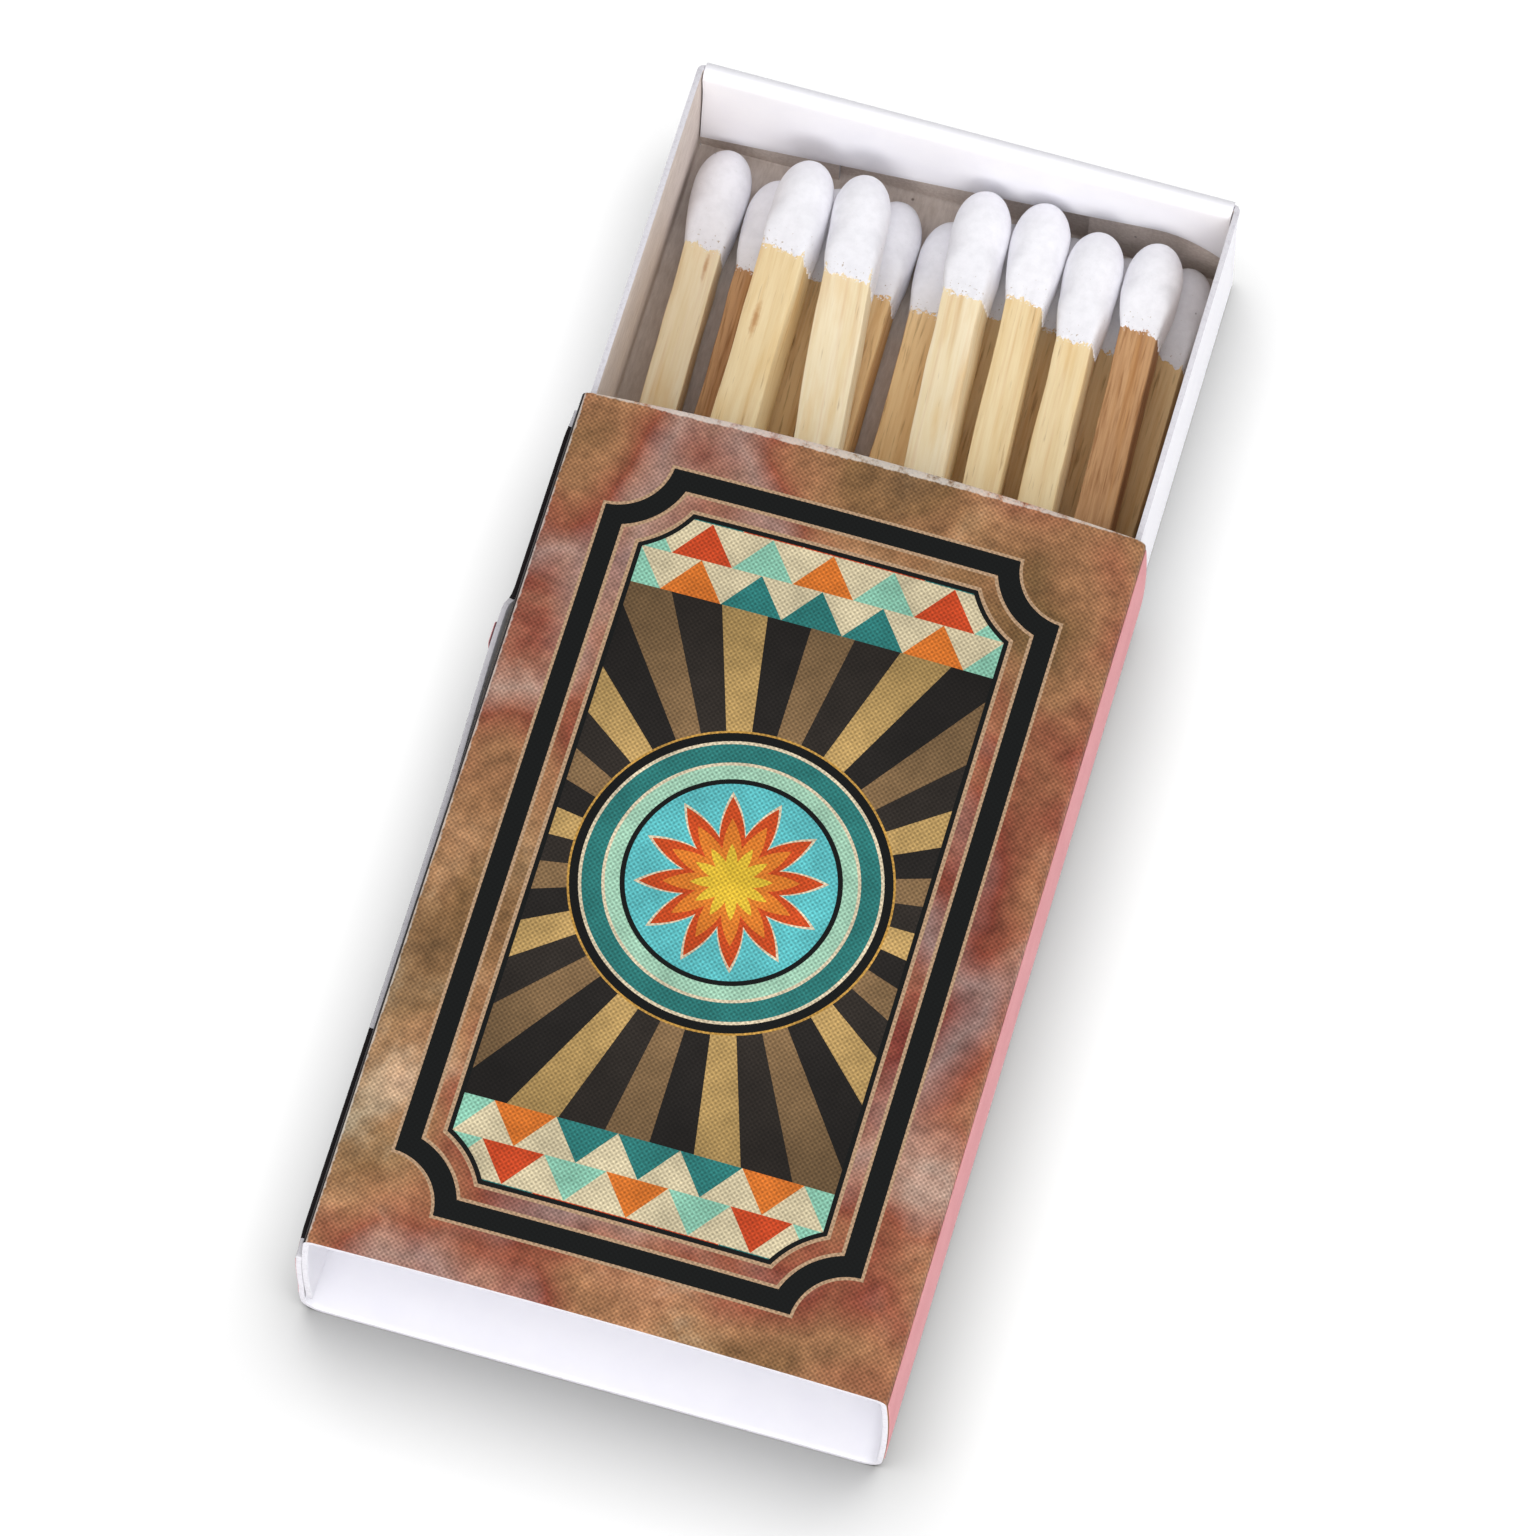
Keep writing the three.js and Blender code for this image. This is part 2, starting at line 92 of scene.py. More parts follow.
@dataclass(frozen=True)
class Graph:
    """A node tree, with short ways to add the nodes that the finishes use.

    A socket takes a plain value, a hex colour, another socket, or a node, whose first result is meant.
    """

    tree: bpy.types.NodeTree

    def plug(self, node: bpy.types.Node, inputs: dict) -> None:
        """Sets or links a node's sockets, given by index or by name."""
        for key, value in inputs.items():
            socket = node.inputs[key] if isinstance(key, int) else next(
                entry for entry in node.inputs if entry.name == key and entry.enabled)
            if isinstance(value, str):
                value = linear(value)
            if isinstance(value, bpy.types.Node):
                value = next(entry for entry in value.outputs if entry.enabled)
            if isinstance(value, bpy.types.NodeSocket):
                self.tree.links.new(value, socket)
            else:
                socket.default_value = value

    def add(self, kind: str, inputs: dict | None = None, **settings) -> bpy.types.Node:
        """Adds a node.

        Args:
            kind: Class name of the node, without ShaderNode.
            inputs: What goes into its sockets.
            **settings: Properties of the node.

        Returns:
            The node.
        """
        node = self.tree.nodes.new("ShaderNode" + kind)
        for name, value in settings.items():
            setattr(node, name, value)
        self.plug(node, inputs or {})
        return node

    def math(self, operation: str, *values) -> bpy.types.Node:
        """Works out a number."""
        return self.add("Math", dict(enumerate(values)), operation=operation)

    def vector(self, operation: str, *values) -> bpy.types.Node:
        """Works out a vector."""
        return self.add("VectorMath", dict(enumerate(values)), operation=operation)

    def parts(self, vector) -> bpy.types.NodeOutputs:
        """Takes a vector apart."""
        return self.add("SeparateXYZ", {0: vector}).outputs

    def attribute(self, name: str, socket: str) -> bpy.types.NodeSocket:
        """Reads a value that the mesh keeps at its vertices."""
        return self.add("Attribute", attribute_name=name).outputs[socket]

    def stretch(self, place, scale: tuple[float, float, float]) -> bpy.types.Node:
        """Scales a place."""
        return self.add("Mapping", {"Vector": place, "Scale": scale})

    def noise(self, place, scale: float, detail: float, roughness: float = 0.5,
              distortion: float = 0.0) -> bpy.types.Node:
        """Gives cloudy noise."""
        return self.add("TexNoise", {"Vector": place, "Scale": scale, "Detail": detail,
                                     "Roughness": roughness, "Distortion": distortion})

    def remap(self, value, start: float, end: float, low: float = 0.0, high: float = 1.0) -> bpy.types.Node:
        """Maps a range of values to another, and holds them at its ends."""
        return self.add("MapRange", {"Value": value, "From Min": start, "From Max": end,
                                     "To Min": low, "To Max": high})

    def ramp(self, value, *stops, interpolation: str = "LINEAR") -> bpy.types.Node:
        """Turns a value into a colour.

        Args:
            value: Number from 0 to 1.
            *stops: Places on the ramp with their hex or linear colours.
            interpolation: How the colours run into each other.

        Returns:
            The node.
        """
        node = self.add("ValToRGB", {"Fac": value})
        node.color_ramp.interpolation = interpolation
        elements = node.color_ramp.elements
        for _ in range(len(stops) - 2):
            elements.new(0.5)
        for element, (place, colour) in zip(elements, stops):
            element.position = place
            element.color = linear(colour) if isinstance(colour, str) else colour
        return node

    def mix(self, share, first, second, blend: str = "MIX") -> bpy.types.Node:
        """Mixes two colours."""
        return self.add("Mix", {"Factor": share, "A": first, "B": second},
                        data_type="RGBA", blend_type=blend)

    def bump(self, height, strength: float, depth: float) -> bpy.types.Node:
        """Bends the surface's normal."""
        return self.add("Bump", {"Height": height, "Strength": strength, "Distance": depth * MM})

    def flecks(self, place, scale: float, reach: tuple[float, float], strength: float,
               share: float) -> bpy.types.Node:
        """Scatters small round spots.

        Args:
            place: Where the surface lies.
            scale: How close the spots lie.
            reach: Where a spot begins to fade and where it ends.
            strength: Its value in the middle.
            share: Part of the spots that shows.

        Returns:
            The node.
        """
        spots = self.add("TexVoronoi", {"Vector": place, "Scale": scale}).outputs
        dot = self.remap(spots["Distance"], *reach, strength, 0.0)
        pick = self.add("SeparateColor", {0: spots["Color"]}).outputs[0]
        return self.math("MULTIPLY", dot, self.math("LESS_THAN", pick, share))

    def seen(self) -> bpy.types.Node:
        """Gives 1 to the camera, gloss and clear pieces, and 0 to the light that the surface throws."""
        path = self.add("LightPath").outputs
        seen = self.math("MAXIMUM", path["Is Camera Ray"], path["Is Glossy Ray"])
        return self.math("MAXIMUM", seen, path["Is Transmission Ray"])


@dataclass(frozen=True)
class Finish:
    """A surface finish that makes its own material."""

    name: str = "finish"

    def start(self) -> tuple[bpy.types.Material, Graph, bpy.types.Node, bpy.types.Node]:
        """Begins the material.

        Returns:
            The material, its graph, its shader and a node that gives the place in millimetres.
        """
        material = bpy.data.materials.new(self.name)
        material.use_nodes = True
        material.node_tree.nodes.clear()
        graph = Graph(material.node_tree)
        shader = graph.add("BsdfPrincipled")
        graph.add("OutputMaterial", {"Surface": shader})
        place = graph.add("TexCoord").outputs["Object"]
        return material, graph, shader, graph.stretch(place, (1 / MM,) * 3)


@dataclass(frozen=True)
class PrintedBoard(Finish):
    """Clay-coated boxboard, offset printed and satin varnished: screened ink, a low even sheen,
    and white board where the creases and cut ends are rubbed."""

    name: str = "offset_printed_boxboard"
    paper: str = "#f1ece4"
    black: str = "#0d0f0f"
    cream: str = "#e3d3b4"
    bronze: str = "#b9997a"
    mint: str = "#a9d6bb"
    teal: str = "#2f7b77"
    # The lap colour is partly the printed dark border and partly painted shade of the gap between the lap and
    # the crease.
    lap: str = "#191416"
    frame_half: tuple[float, float] = (14.6, 25.6)
    frame_range: tuple[float, float] = (-4.0, 1.0)
    notch: float = 3.4
    frame_depth: float = 3.0
    roundel: float = 9.9
    star_points: int = 12
    ray_count: int = 10
    tooth: tuple[float, float] = (3.84, 2.5)
    tooth_start: float = 17.4
    # The real screen is about 0.17 mm. It is drawn coarser so that the dots show in the render.
    screen: float = 0.24
    # Past this distance on the left, the crease and the lap are made dark: partly the printed dark border,
    # partly painted shade of the gap under the crease.
    shoulder: float = 17.81
    # Where the left crease and the far cut end are rubbed.
    rubbed: tuple[float, float] = (17.7, 28.95)

    def make(self) -> bpy.types.Material:
        """Builds the print from its ground, panel and frame, and the wear over it."""
        material, graph, shader, millimetres = self.start()
        flat = graph.vector("MULTIPLY", millimetres, (1, 1, 0))
        aside = graph.vector("ABSOLUTE", flat)
        inset = self.frame_inset(graph, aside)
        in_panel = graph.math("LESS_THAN", inset, -self.frame_depth)
        art = graph.mix(in_panel, self.ground(graph, millimetres), self.panel(graph, flat, aside))
        lines = self.frame_lines(graph, inset)
        art = graph.mix(lines.outputs["Alpha"], art, lines.outputs["Color"])
        art = self.screened(graph, millimetres, art)
        art = graph.mix(self.wear(graph, millimetres), art, self.paper)
        # Dark on the left shoulder and lap: printed border and painted shade of the gap under the crease.
        dark_shoulder_print_and_gap_shade = graph.math("LESS_THAN", graph.parts(millimetres)[0], -self.shoulder)
        grain = graph.noise(millimetres, 3.0, 4.0)
        graph.plug(shader, {
            "Base Color": graph.mix(dark_shoulder_print_and_gap_shade, art, self.lap),
            "Roughness": graph.remap(grain, 0.0, 1.0, 0.42, 0.58),
            "Normal": graph.bump(grain, strength=0.12, depth=0.02),
            "Specular IOR Level": 0.1,
        })
        return material

    def frame_inset(self, graph: Graph, aside):
        """Gives how far a point lies outside the frame, a rectangle whose corners are cut in round."""
        corner = graph.vector("SUBTRACT", aside, (*self.frame_half, 0))
        parts = graph.parts(corner)
        outside = graph.math("MAXIMUM", parts[0], parts[1])
        length = graph.vector("LENGTH", corner).outputs["Value"]
        bite = graph.math("SUBTRACT", self.notch, length)
        return graph.math("MAXIMUM", outside, bite)

    def frame_lines(self, graph: Graph, inset):
        """Draws the frame's black and bronze lines, clear between them."""
        low, high = self.frame_range
        clear = linear(self.black, 0.0)
        bands = ((low, clear), (-3.15, self.black), (-2.85, self.bronze), (-2.62, clear),
                 (-1.75, self.bronze), (-1.52, self.black), (-0.2, self.bronze), (0.0, clear))
        stops = (((depth - low) / (high - low), colour) for depth, colour in bands)
        return graph.ramp(graph.remap(inset, low, high), *stops, interpolation="CONSTANT")

    def ground(self, graph: Graph, millimetres):
        """Mottles the border in copper, rust, umber and a little grey rose."""
        cloud = graph.noise(millimetres, 0.09, 8.0, roughness=0.58, distortion=0.5)
        copper = graph.ramp(cloud, (0.3, "#2b1d1a"), (0.41, "#66392c"), (0.5, "#96654a"),
                            (0.58, "#b98d6c"), (0.69, "#e6d2b6"))
        patch = graph.add("TexNoise", {"Vector": millimetres, "W": 3.7, "Scale": 0.05, "Detail": 3.0},
                          noise_dimensions="4D")
        tint = graph.ramp(patch, (0.34, "#565236"), (0.42, "#8f7247"), (0.48, "#c08d62"),
                          (0.54, "#a04e3c"), (0.6, "#b89a93"), (0.67, "#93423a"))
        mixed = graph.mix(0.58, copper, tint)
        scuff = graph.noise(millimetres, 0.9, 7.0, roughness=0.72)
        return graph.mix(1.0, mixed, graph.remap(scuff, 0.3, 0.7, 0.6, 1.3), "MULTIPLY")

    def panel(self, graph: Graph, flat, aside):
        """Draws rays behind a ringed star, with rows of teeth at each end of the panel."""
        turn = graph.add("TexGradient", {"Vector": flat}, gradient_type="RADIAL").outputs["Fac"]
        radius = graph.vector("LENGTH", flat).outputs["Value"]
        fan = graph.math("FRACT", graph.math("MULTIPLY", turn, float(self.ray_count)))
        rays = graph.ramp(fan, (0.0, "#2a2521"), (0.25, "#7d6345"), (0.5, "#1f1c1a"), (0.75, "#b3935c"),
                          interpolation="CONSTANT")
        rays = graph.mix(1.0, rays, graph.remap(radius, 9.0, 22.0, 1.35, 0.6), "MULTIPLY")
        teeth, in_teeth = self.teeth(graph, aside)
        field_art = graph.mix(in_teeth, rays, teeth)
        in_roundel = graph.math("LESS_THAN", radius, self.roundel)
        whole = graph.mix(in_roundel, field_art, self.star(graph, turn, radius))
        # Ink lies unevenly, thinner in clouds a few millimetres wide.
        ink = graph.noise(flat, 0.3, 6.0, roughness=0.66)
        return graph.mix(1.0, whole, graph.remap(ink, 0.32, 0.68, 0.74, 1.16), "MULTIPLY")

    def star(self, graph: Graph, turn, radius):
        """Draws the star and the rings round it."""
        point = graph.math("PINGPONG", graph.math("MULTIPLY", turn, float(self.star_points)), 0.5)
        reach = graph.math("MULTIPLY_ADD", point, 5.4, 3.1)
        share = graph.math("MULTIPLY", graph.math("DIVIDE", radius, reach), 0.7)
        star = graph.ramp(share, (0.0, "#e8c23c"), (0.3, "#e3812f"), (0.5, "#cf4f24"), (0.67, self.cream),
                          (0.71, "#62c4c8"), interpolation="CONSTANT")
        rings = graph.ramp(graph.math("DIVIDE", radius, 10.0), (0.0, linear(self.black, 0.0)),
                           (0.64, self.black), (0.67, self.mint), (0.76, self.cream), (0.78, self.teal),
                           (0.9, self.cream), (0.92, self.black), (0.975, "#c99a4a"),
                           interpolation="CONSTANT")
        return graph.mix(rings.outputs["Alpha"], star, rings.outputs["Color"])

    def teeth(self, graph: Graph, aside):
        """Draws rows of coloured triangles at the panel's ends.

        Returns:
            The colour, and 1 where the rows lie.
        """
        wide, tall = self.tooth
        cell = graph.add("Mapping", {"Vector": aside, "Location": (0.5, -self.tooth_start / tall, 0),
                                     "Scale": (1 / wide, 1 / tall, 0)})
        pick = graph.add("TexWhiteNoise", {"Vector": graph.vector("FLOOR", cell)}, noise_dimensions="2D")
        inks = graph.ramp(pick, (0.0, "#d9762e"), (0.25, "#e6bf3f"), (0.42, "#c94a26"), (0.6, "#8fcbb2"),
                          (0.8, self.teal), interpolation="CONSTANT")
        part = graph.parts(graph.vector("FRACTION", cell))
        slope = graph.math("MULTIPLY", graph.math("PINGPONG", part[0], 0.5), 2.0)
        inside = graph.math("LESS_THAN", part[1], slope)
        in_rows = graph.math("GREATER_THAN", graph.parts(aside)[1], self.tooth_start)
        return graph.mix(inside, "#d9cba8", inks), in_rows

    def screened(self, graph: Graph, millimetres, art):
        """Lays two printing screens over the art, one of ink dots and one of paper between them."""
        for turn, low, high in ((45, 0.64, 1.14), (15, 1.14, 0.82)):
            grid = graph.add("Mapping", {"Vector": millimetres, "Rotation": (0, 0, math.radians(turn))})
            dots = graph.add("TexVoronoi", {"Vector": grid, "Scale": 1 / self.screen, "Randomness": 0.0},
                             voronoi_dimensions="2D")
            tone = graph.remap(dots.outputs["Distance"], 0.15, 0.6, low, high)
            art = graph.mix(1.0, art, tone, "MULTIPLY")
        return art

    def wear(self, graph: Graph, millimetres):
        """Gives how far the ink is rubbed off, along the left crease and the far cut end."""
        crease, cut = self.rubbed
        parts = graph.parts(graph.vector("MULTIPLY_ADD", millimetres, (-1, 1, 0), (-crease, -cut, 0)))
        near = graph.remap(graph.math("MAXIMUM", parts[0], parts[1]), -0.22, 0.06, -0.4, 0.16)
        rub = graph.math("ADD", graph.noise(millimetres, 1.1, 7.0, roughness=0.75), near)
        return graph.remap(rub, 0.5, 0.66, 0.0, 0.55)


@dataclass(frozen=True)
class CoatedBoard(Finish):
    """White clay-coated boxboard: smooth, bright and slightly cool, with a faint fibre."""

    name: str = "white_coated_boxboard"
    light: str = "#fbfaff"
    shade: str = "#f8f7fd"
    fibre: float = 2.5

    def make(self) -> bpy.types.Material:
        """Builds the coated white."""
        material, graph, shader, millimetres = self.start()
        mottle = graph.noise(millimetres, 1 / self.fibre, 5.0, roughness=0.6)
        graph.plug(shader, {
            "Base Color": graph.ramp(mottle, (0.35, self.shade), (0.6, self.light)),
            "Roughness": 0.6,
            "Normal": graph.bump(mottle, strength=0.06, depth=0.02),
            "Specular IOR Level": 0.3,
        })
        return material


@dataclass(frozen=True)
class PulpBoard(Finish):
    """The uncoated back of recycled boxboard: warm grey, matt, fibrous, with dark flecks of old print."""

    name: str = "uncoated_pulp_board"
    light: str = "#e5d9d1"
    shade: str = "#cfc1b8"
    fleck: str = "#6f5f57"

    def make(self) -> bpy.types.Material:
        """Builds the pulp with fibres and flecks."""
        material, graph, shader, millimetres = self.start()
        # Fibres about 0.2 mm wide and 2 mm long lie mostly along the board.
        fibre = graph.noise(graph.stretch(millimetres, (3.0, 0.7, 3.0)), 1.4, 6.0, roughness=0.68)
        colour = graph.ramp(fibre, (0.32, self.shade), (0.66, self.light))
        dots = graph.flecks(millimetres, 0.55, reach=(0.03, 0.07), strength=0.8, share=0.3)
        graph.plug(shader, {
            "Base Color": graph.mix(dots, colour, self.fleck),
            "Roughness": 0.92,
            "Normal": graph.bump(fibre, strength=0.35, depth=0.05),
            "Specular IOR Level": 0.15,
        })
        return material


@dataclass(frozen=True)
class CutBoard(Finish):
    """Guillotined board edge: pale broken fibre with a greyer core, matt."""

    name: str = "cut_board_edge"
    light: str = "#dedce2"
    shade: str = "#d0cdd4"

    def make(self) -> bpy.types.Material:
        """Builds the broken fibre."""
        material, graph, shader, millimetres = self.start()
        torn = graph.noise(millimetres, 4.5, 4.0, roughness=0.7)
        graph.plug(shader, {
            "Base Color": graph.ramp(torn, (0.34, self.shade), (0.52, self.light)),
            "Roughness": 0.9,
            "Normal": graph.bump(torn, strength=0.3, depth=0.05),
            "Specular IOR Level": 0.2,
        })
        return material


@dataclass(frozen=True)
class StrikerPaint(Finish):
    """Red phosphorus paint rolled on in a thin coat: dusty pink, dead matt, with a fine grit."""

    name: str = "phosphorus_striker_paint"
    light: str = "#e4a3a7"
    shade: str = "#da969b"
    # Ground glass in the paint is about 0.05 mm. It is drawn at 0.2 mm so that it shows.
    grit: float = 0.2

    def make(self) -> bpy.types.Material:
        """Builds the gritty paint."""
        material, graph, shader, millimetres = self.start()
        grit = graph.noise(millimetres, 1 / self.grit, 3.0, roughness=0.7)
        cloud = graph.noise(millimetres, 0.35, 4.0)
        both = graph.add("Mix", {"Factor": 0.5, "A": grit, "B": cloud})
        graph.plug(shader, {
            "Base Color": graph.ramp(both, (0.36, self.shade), (0.62, self.light)),
            "Roughness": 0.9,
            "Normal": graph.bump(grit, strength=0.5, depth=0.04),
            "Specular IOR Level": 0.2,
        })
        return material


@dataclass(frozen=True)
class DriedGlue(Finish):
    """Dried vinyl glue: a thin yellowish film, glossier than the board, with small bubbles."""

    name: str = "dried_vinyl_glue"
    light: str = "#efe6cc"
    shade: str = "#d8caa2"

    def make(self) -> bpy.types.Material:
        """Builds the film."""
        material, graph, shader, millimetres = self.start()
        pool = graph.noise(millimetres, 0.8, 3.0)
        bubble = graph.add("TexVoronoi", {"Vector": millimetres, "Scale": 1.8}).outputs["Distance"]
        graph.plug(shader, {
            "Base Color": graph.ramp(pool, (0.35, self.shade), (0.65, self.light)),
            "Roughness": 0.32,
            "Normal": graph.bump(bubble, strength=0.3, depth=0.03),
        })
        return material


@dataclass(frozen=True)
class AspenSplint(Finish):
    """Split aspen: pale straw wood with fine fibre along the stick, some sticks brown, the lower ones
    amber as painted warm shade between the sticks, stained at a knot, and flecked with paste just below the
    head."""

    name: str = "split_aspen"
    # The third tone, amber, is painted warm shade: the light bounced between the lower sticks.
    tones: tuple[float, ...] = (0.0, 0.33, 0.66, 1.0)
    light: tuple[str, ...] = ("#f9e9c8", "#f4deb1", "#f5d5a2", "#cb9e72")
    shade: tuple[str, ...] = ("#f0dbb0", "#e7ca97", "#e3b880", "#a3734c")
    vein: str = "#8a5b34"
    streak: str = "#c98d4b"
    honey: str = "#e2b56a"
    stain: str = "#b46f2c"
    knot: str = "#3c2113"
    paste: str = "#f4f2f5"

    def make(self) -> bpy.types.Material:
        """Builds the wood on the stick's own places, kept as attributes of its mesh."""
        material, graph, shader, _ = self.start()
        place = graph.attribute("grain", "Vector")
        tone = graph.attribute("tone", "Fac")
        # Growth bands are about 0.9 mm apart, and fibres 0.15 mm wide and several mm long.
        drawn = graph.stretch(place, (1.0, 0.045, 1.0))
        band = graph.noise(drawn, 1.1, 3.0, roughness=0.55, distortion=0.4)
        fibre = graph.noise(drawn, 6.5, 4.0, roughness=0.6)
        both = graph.add("Mix", {"Factor": 0.4, "A": band, "B": fibre})
        deep, pale = (graph.ramp(tone, *zip(self.tones, colours)) for colours in (self.shade, self.light))
        wood = graph.mix(graph.remap(both, 0.36, 0.6), deep, pale)
        wood = self.streaked(graph, place, tone, wood)
        wood = self.knotted(graph, place, wood)
        thin = graph.remap(graph.attribute("below", "Fac"), 0.0, 0.7, 0.06, -0.26)
        spray = graph.math("ADD", graph.noise(place, 5.0, 3.0, roughness=0.7), thin)
        graph.plug(shader, {
            "Base Color": graph.mix(graph.remap(spray, 0.56, 0.62), wood, self.paste),
            "Roughness": 0.72,
            "Normal": graph.bump(both, strength=0.35, depth=0.1),
            "Specular IOR Level": 0.2,
        })
        return material

    def streaked(self, graph: Graph, place, tone, wood):
        """Draws warm streaks along the grain, honey stains, and pores that are denser in darker wood."""
        lines = graph.noise(graph.stretch(place, (1.9, 0.07, 1.9)), 1.0, 3.0)
        wood = graph.mix(graph.remap(lines, 0.54, 0.78, 0.0, 0.42), wood, self.streak)
        broad = graph.noise(graph.stretch(place, (0.75, 0.13, 0.75)), 1.0, 4.0)
        honey = graph.remap(broad, 0.52, 0.72, 0.0, 0.5)
        honey = graph.math("MULTIPLY", honey, graph.math("SUBTRACT", 1.0, tone))
        wood = graph.mix(honey, wood, self.honey)
        pores = graph.noise(graph.stretch(place, (5.5, 0.36, 5.5)), 1.0, 3.0)
        coarse = graph.math("MULTIPLY_ADD", tone, 0.16, -0.09)
        vein = graph.remap(graph.math("ADD", pores, coarse), 0.58, 0.76, 0.0, 0.6)
        return graph.mix(vein, wood, self.vein)

    def knotted(self, graph: Graph, place, wood):
        """Stains the wood at a knot. The mesh keeps the way from the knot, in knot widths and lengths."""
        apart = graph.vector("LENGTH", graph.attribute("knot", "Vector")).outputs["Value"]
        apart = graph.math("MULTIPLY_ADD", graph.noise(place, 2.6, 4.0), 1.4, apart)
        wood = graph.mix(graph.remap(apart, 1.1, 2.2, 0.6, 0.0), wood, self.stain)
        core = graph.remap(apart, 0.8, 1.5, 1.0, 0.0)
        core = graph.math("MULTIPLY", core, graph.attribute("dark", "Fac"))
        return graph.mix(core, wood, self.knot)


@dataclass(frozen=True)
class MatchPaste(Finish):
    """Dipped and dried chlorate paste: chalk white, matt, smooth at the tip, pitted and thin at
    its lower border, where wood shows through."""

    name: str = "chalky_match_paste"
    light: str = "#f3f2f7"
    shade: str = "#ecebf0"
    pit: str = "#a88f74"
    speck: str = "#7d7480"

    def make(self) -> bpy.types.Material:
        """Builds the chalk with its pits and specks."""
        material, graph, shader, _ = self.start()
        place = graph.attribute("grain", "Vector")
        chalk = graph.noise(place, 1.6, 6.0, roughness=0.65)
        colour = graph.ramp(chalk, (0.34, self.shade), (0.6, self.light))
        thin = graph.remap(graph.attribute("above", "Fac"), -0.2, 1.9, 0.06, -0.1)
        pits = graph.math("ADD", graph.noise(place, 6.0, 1.0), thin)
        pitted = graph.remap(pits, 0.68, 0.78, 0.0, 0.75)
        colour = graph.mix(pitted, colour, self.pit)
        dots = graph.flecks(place, 0.62, reach=(0.02, 0.05), strength=0.6, share=0.4)
        height = graph.math("SUBTRACT", graph.noise(place, 9.0, 3.0), pitted)
        graph.plug(shader, {
            "Base Color": graph.mix(dots, colour, self.speck),
            "Roughness": 0.85,
            "Normal": graph.bump(height, strength=0.3, depth=0.04),
            "Specular IOR Level": 0.25,
        })
        return material


class Along(Enum):
    """The direction in which a strip of board keeps its section."""

    X = "x"
    Y = "y"
    Z = "z"

    def place(self, along: float, first: float, second: float) -> Vector:
        """Gives the point at a distance along the strip and two places in its section."""
        if self is Along.X:
            return Vector((along, first, second))
        if self is Along.Y:
            return Vector((first, along, second))
        return Vector((first, second, along))


@dataclass(frozen=True)
class Fold:
    """A line across a board strip's section, with its crease radius and its share of the width."""

    first: float
    second: float
    radius: float = 0.0
    span: float = 1.0


def fold_board(bm, along: Along, start: float, end: float, cuts: int, folds: list[Fold],
               facing: Vector) -> None:
    """Folds a sheet without thickness, one panel after another, and rounds its creases.

    Args:
        bm: Mesh that takes the sheet.
        along: Direction of the creases.
        start: Where the creases begin.
        end: Where they end.
        cuts: How often each panel is cut across its creases.
        folds: The section's lines in order.
        facing: Way that the coated face of the first panel looks.
    """
    middle = (start + end) / 2
    half = (end - start) / 2
    first = folds[0]
    head = [bm.verts.new(along.place(middle + side * half * first.span, first.first, first.second))
            for side in (-1, 1)]
    edge = bm.edges.new(head)
    made = bmesh.ops.subdivide_edges(bm, edges=[edge], cuts=cuts)
    row = [part for part in made["geom_inner"] if isinstance(part, bmesh.types.BMEdge)]
    row = list({*row, *(part for part in made["geom_split"] if isinstance(part, bmesh.types.BMEdge))})
    faces = []
    creases = []
    for before, after in zip(folds, folds[1:]):
        grown = bmesh.ops.extrude_edge_only(bm, edges=row)["geom"]
        row = [part for part in grown if isinstance(part, bmesh.types.BMEdge) and not part.is_manifold
               and all(vert.link_faces for vert in part.verts)]
        verts = [part for part in grown if isinstance(part, bmesh.types.BMVert)]
        faces += [part for part in grown if isinstance(part, bmesh.types.BMFace)]
        row = [part for part in row if all(vert in verts for vert in part.verts)]
        move = along.place(0, after.first - before.first, after.second - before.second)
        bmesh.ops.translate(bm, verts=verts, vec=move)
        stretch = along.place(after.span / before.span, 1, 1)
        about = Matrix.Translation(-along.place(middle, 0, 0))
        bmesh.ops.scale(bm, verts=verts, vec=stretch, space=about)
        if after.radius:
            creases.append((row, after.radius))
    bm.normal_update()
    if faces[0].normal.dot(facing) < 0:
        bmesh.ops.reverse_faces(bm, faces=faces)
    for edges, radius in creases:
        bmesh.ops.bevel(bm, geom=edges, offset=radius, offset_type="OFFSET", affect="EDGES", segments=6,
                        profile=0.5, material=-1, clamp_overlap=True)


def join_mesh(bm, part) -> None:
    """Adds a copy of one mesh to another."""
    spare = bpy.data.meshes.new("spare")
    part.to_mesh(spare)
    bm.from_mesh(spare)
    bpy.data.meshes.remove(spare)


def new_object(name: str, bm, finishes: list[bpy.types.Material]) -> bpy.types.Object:
    """Makes an object of a mesh drawn in millimetres.

    Args:
        name: Name of the piece.
        bm: Its mesh, which is used up.
        finishes: Materials of its slots.

    Returns:
        The object, at the origin, in metres.
    """
    bmesh.ops.scale(bm, verts=bm.verts, vec=(MM, MM, MM))
    mesh = bpy.data.meshes.new(name)
    bm.to_mesh(mesh)
    bm.free()
    for finish in finishes:
        mesh.materials.append(finish)
    piece = bpy.data.objects.new(name, mesh)
    bpy.context.scene.collection.objects.link(piece)
    return piece


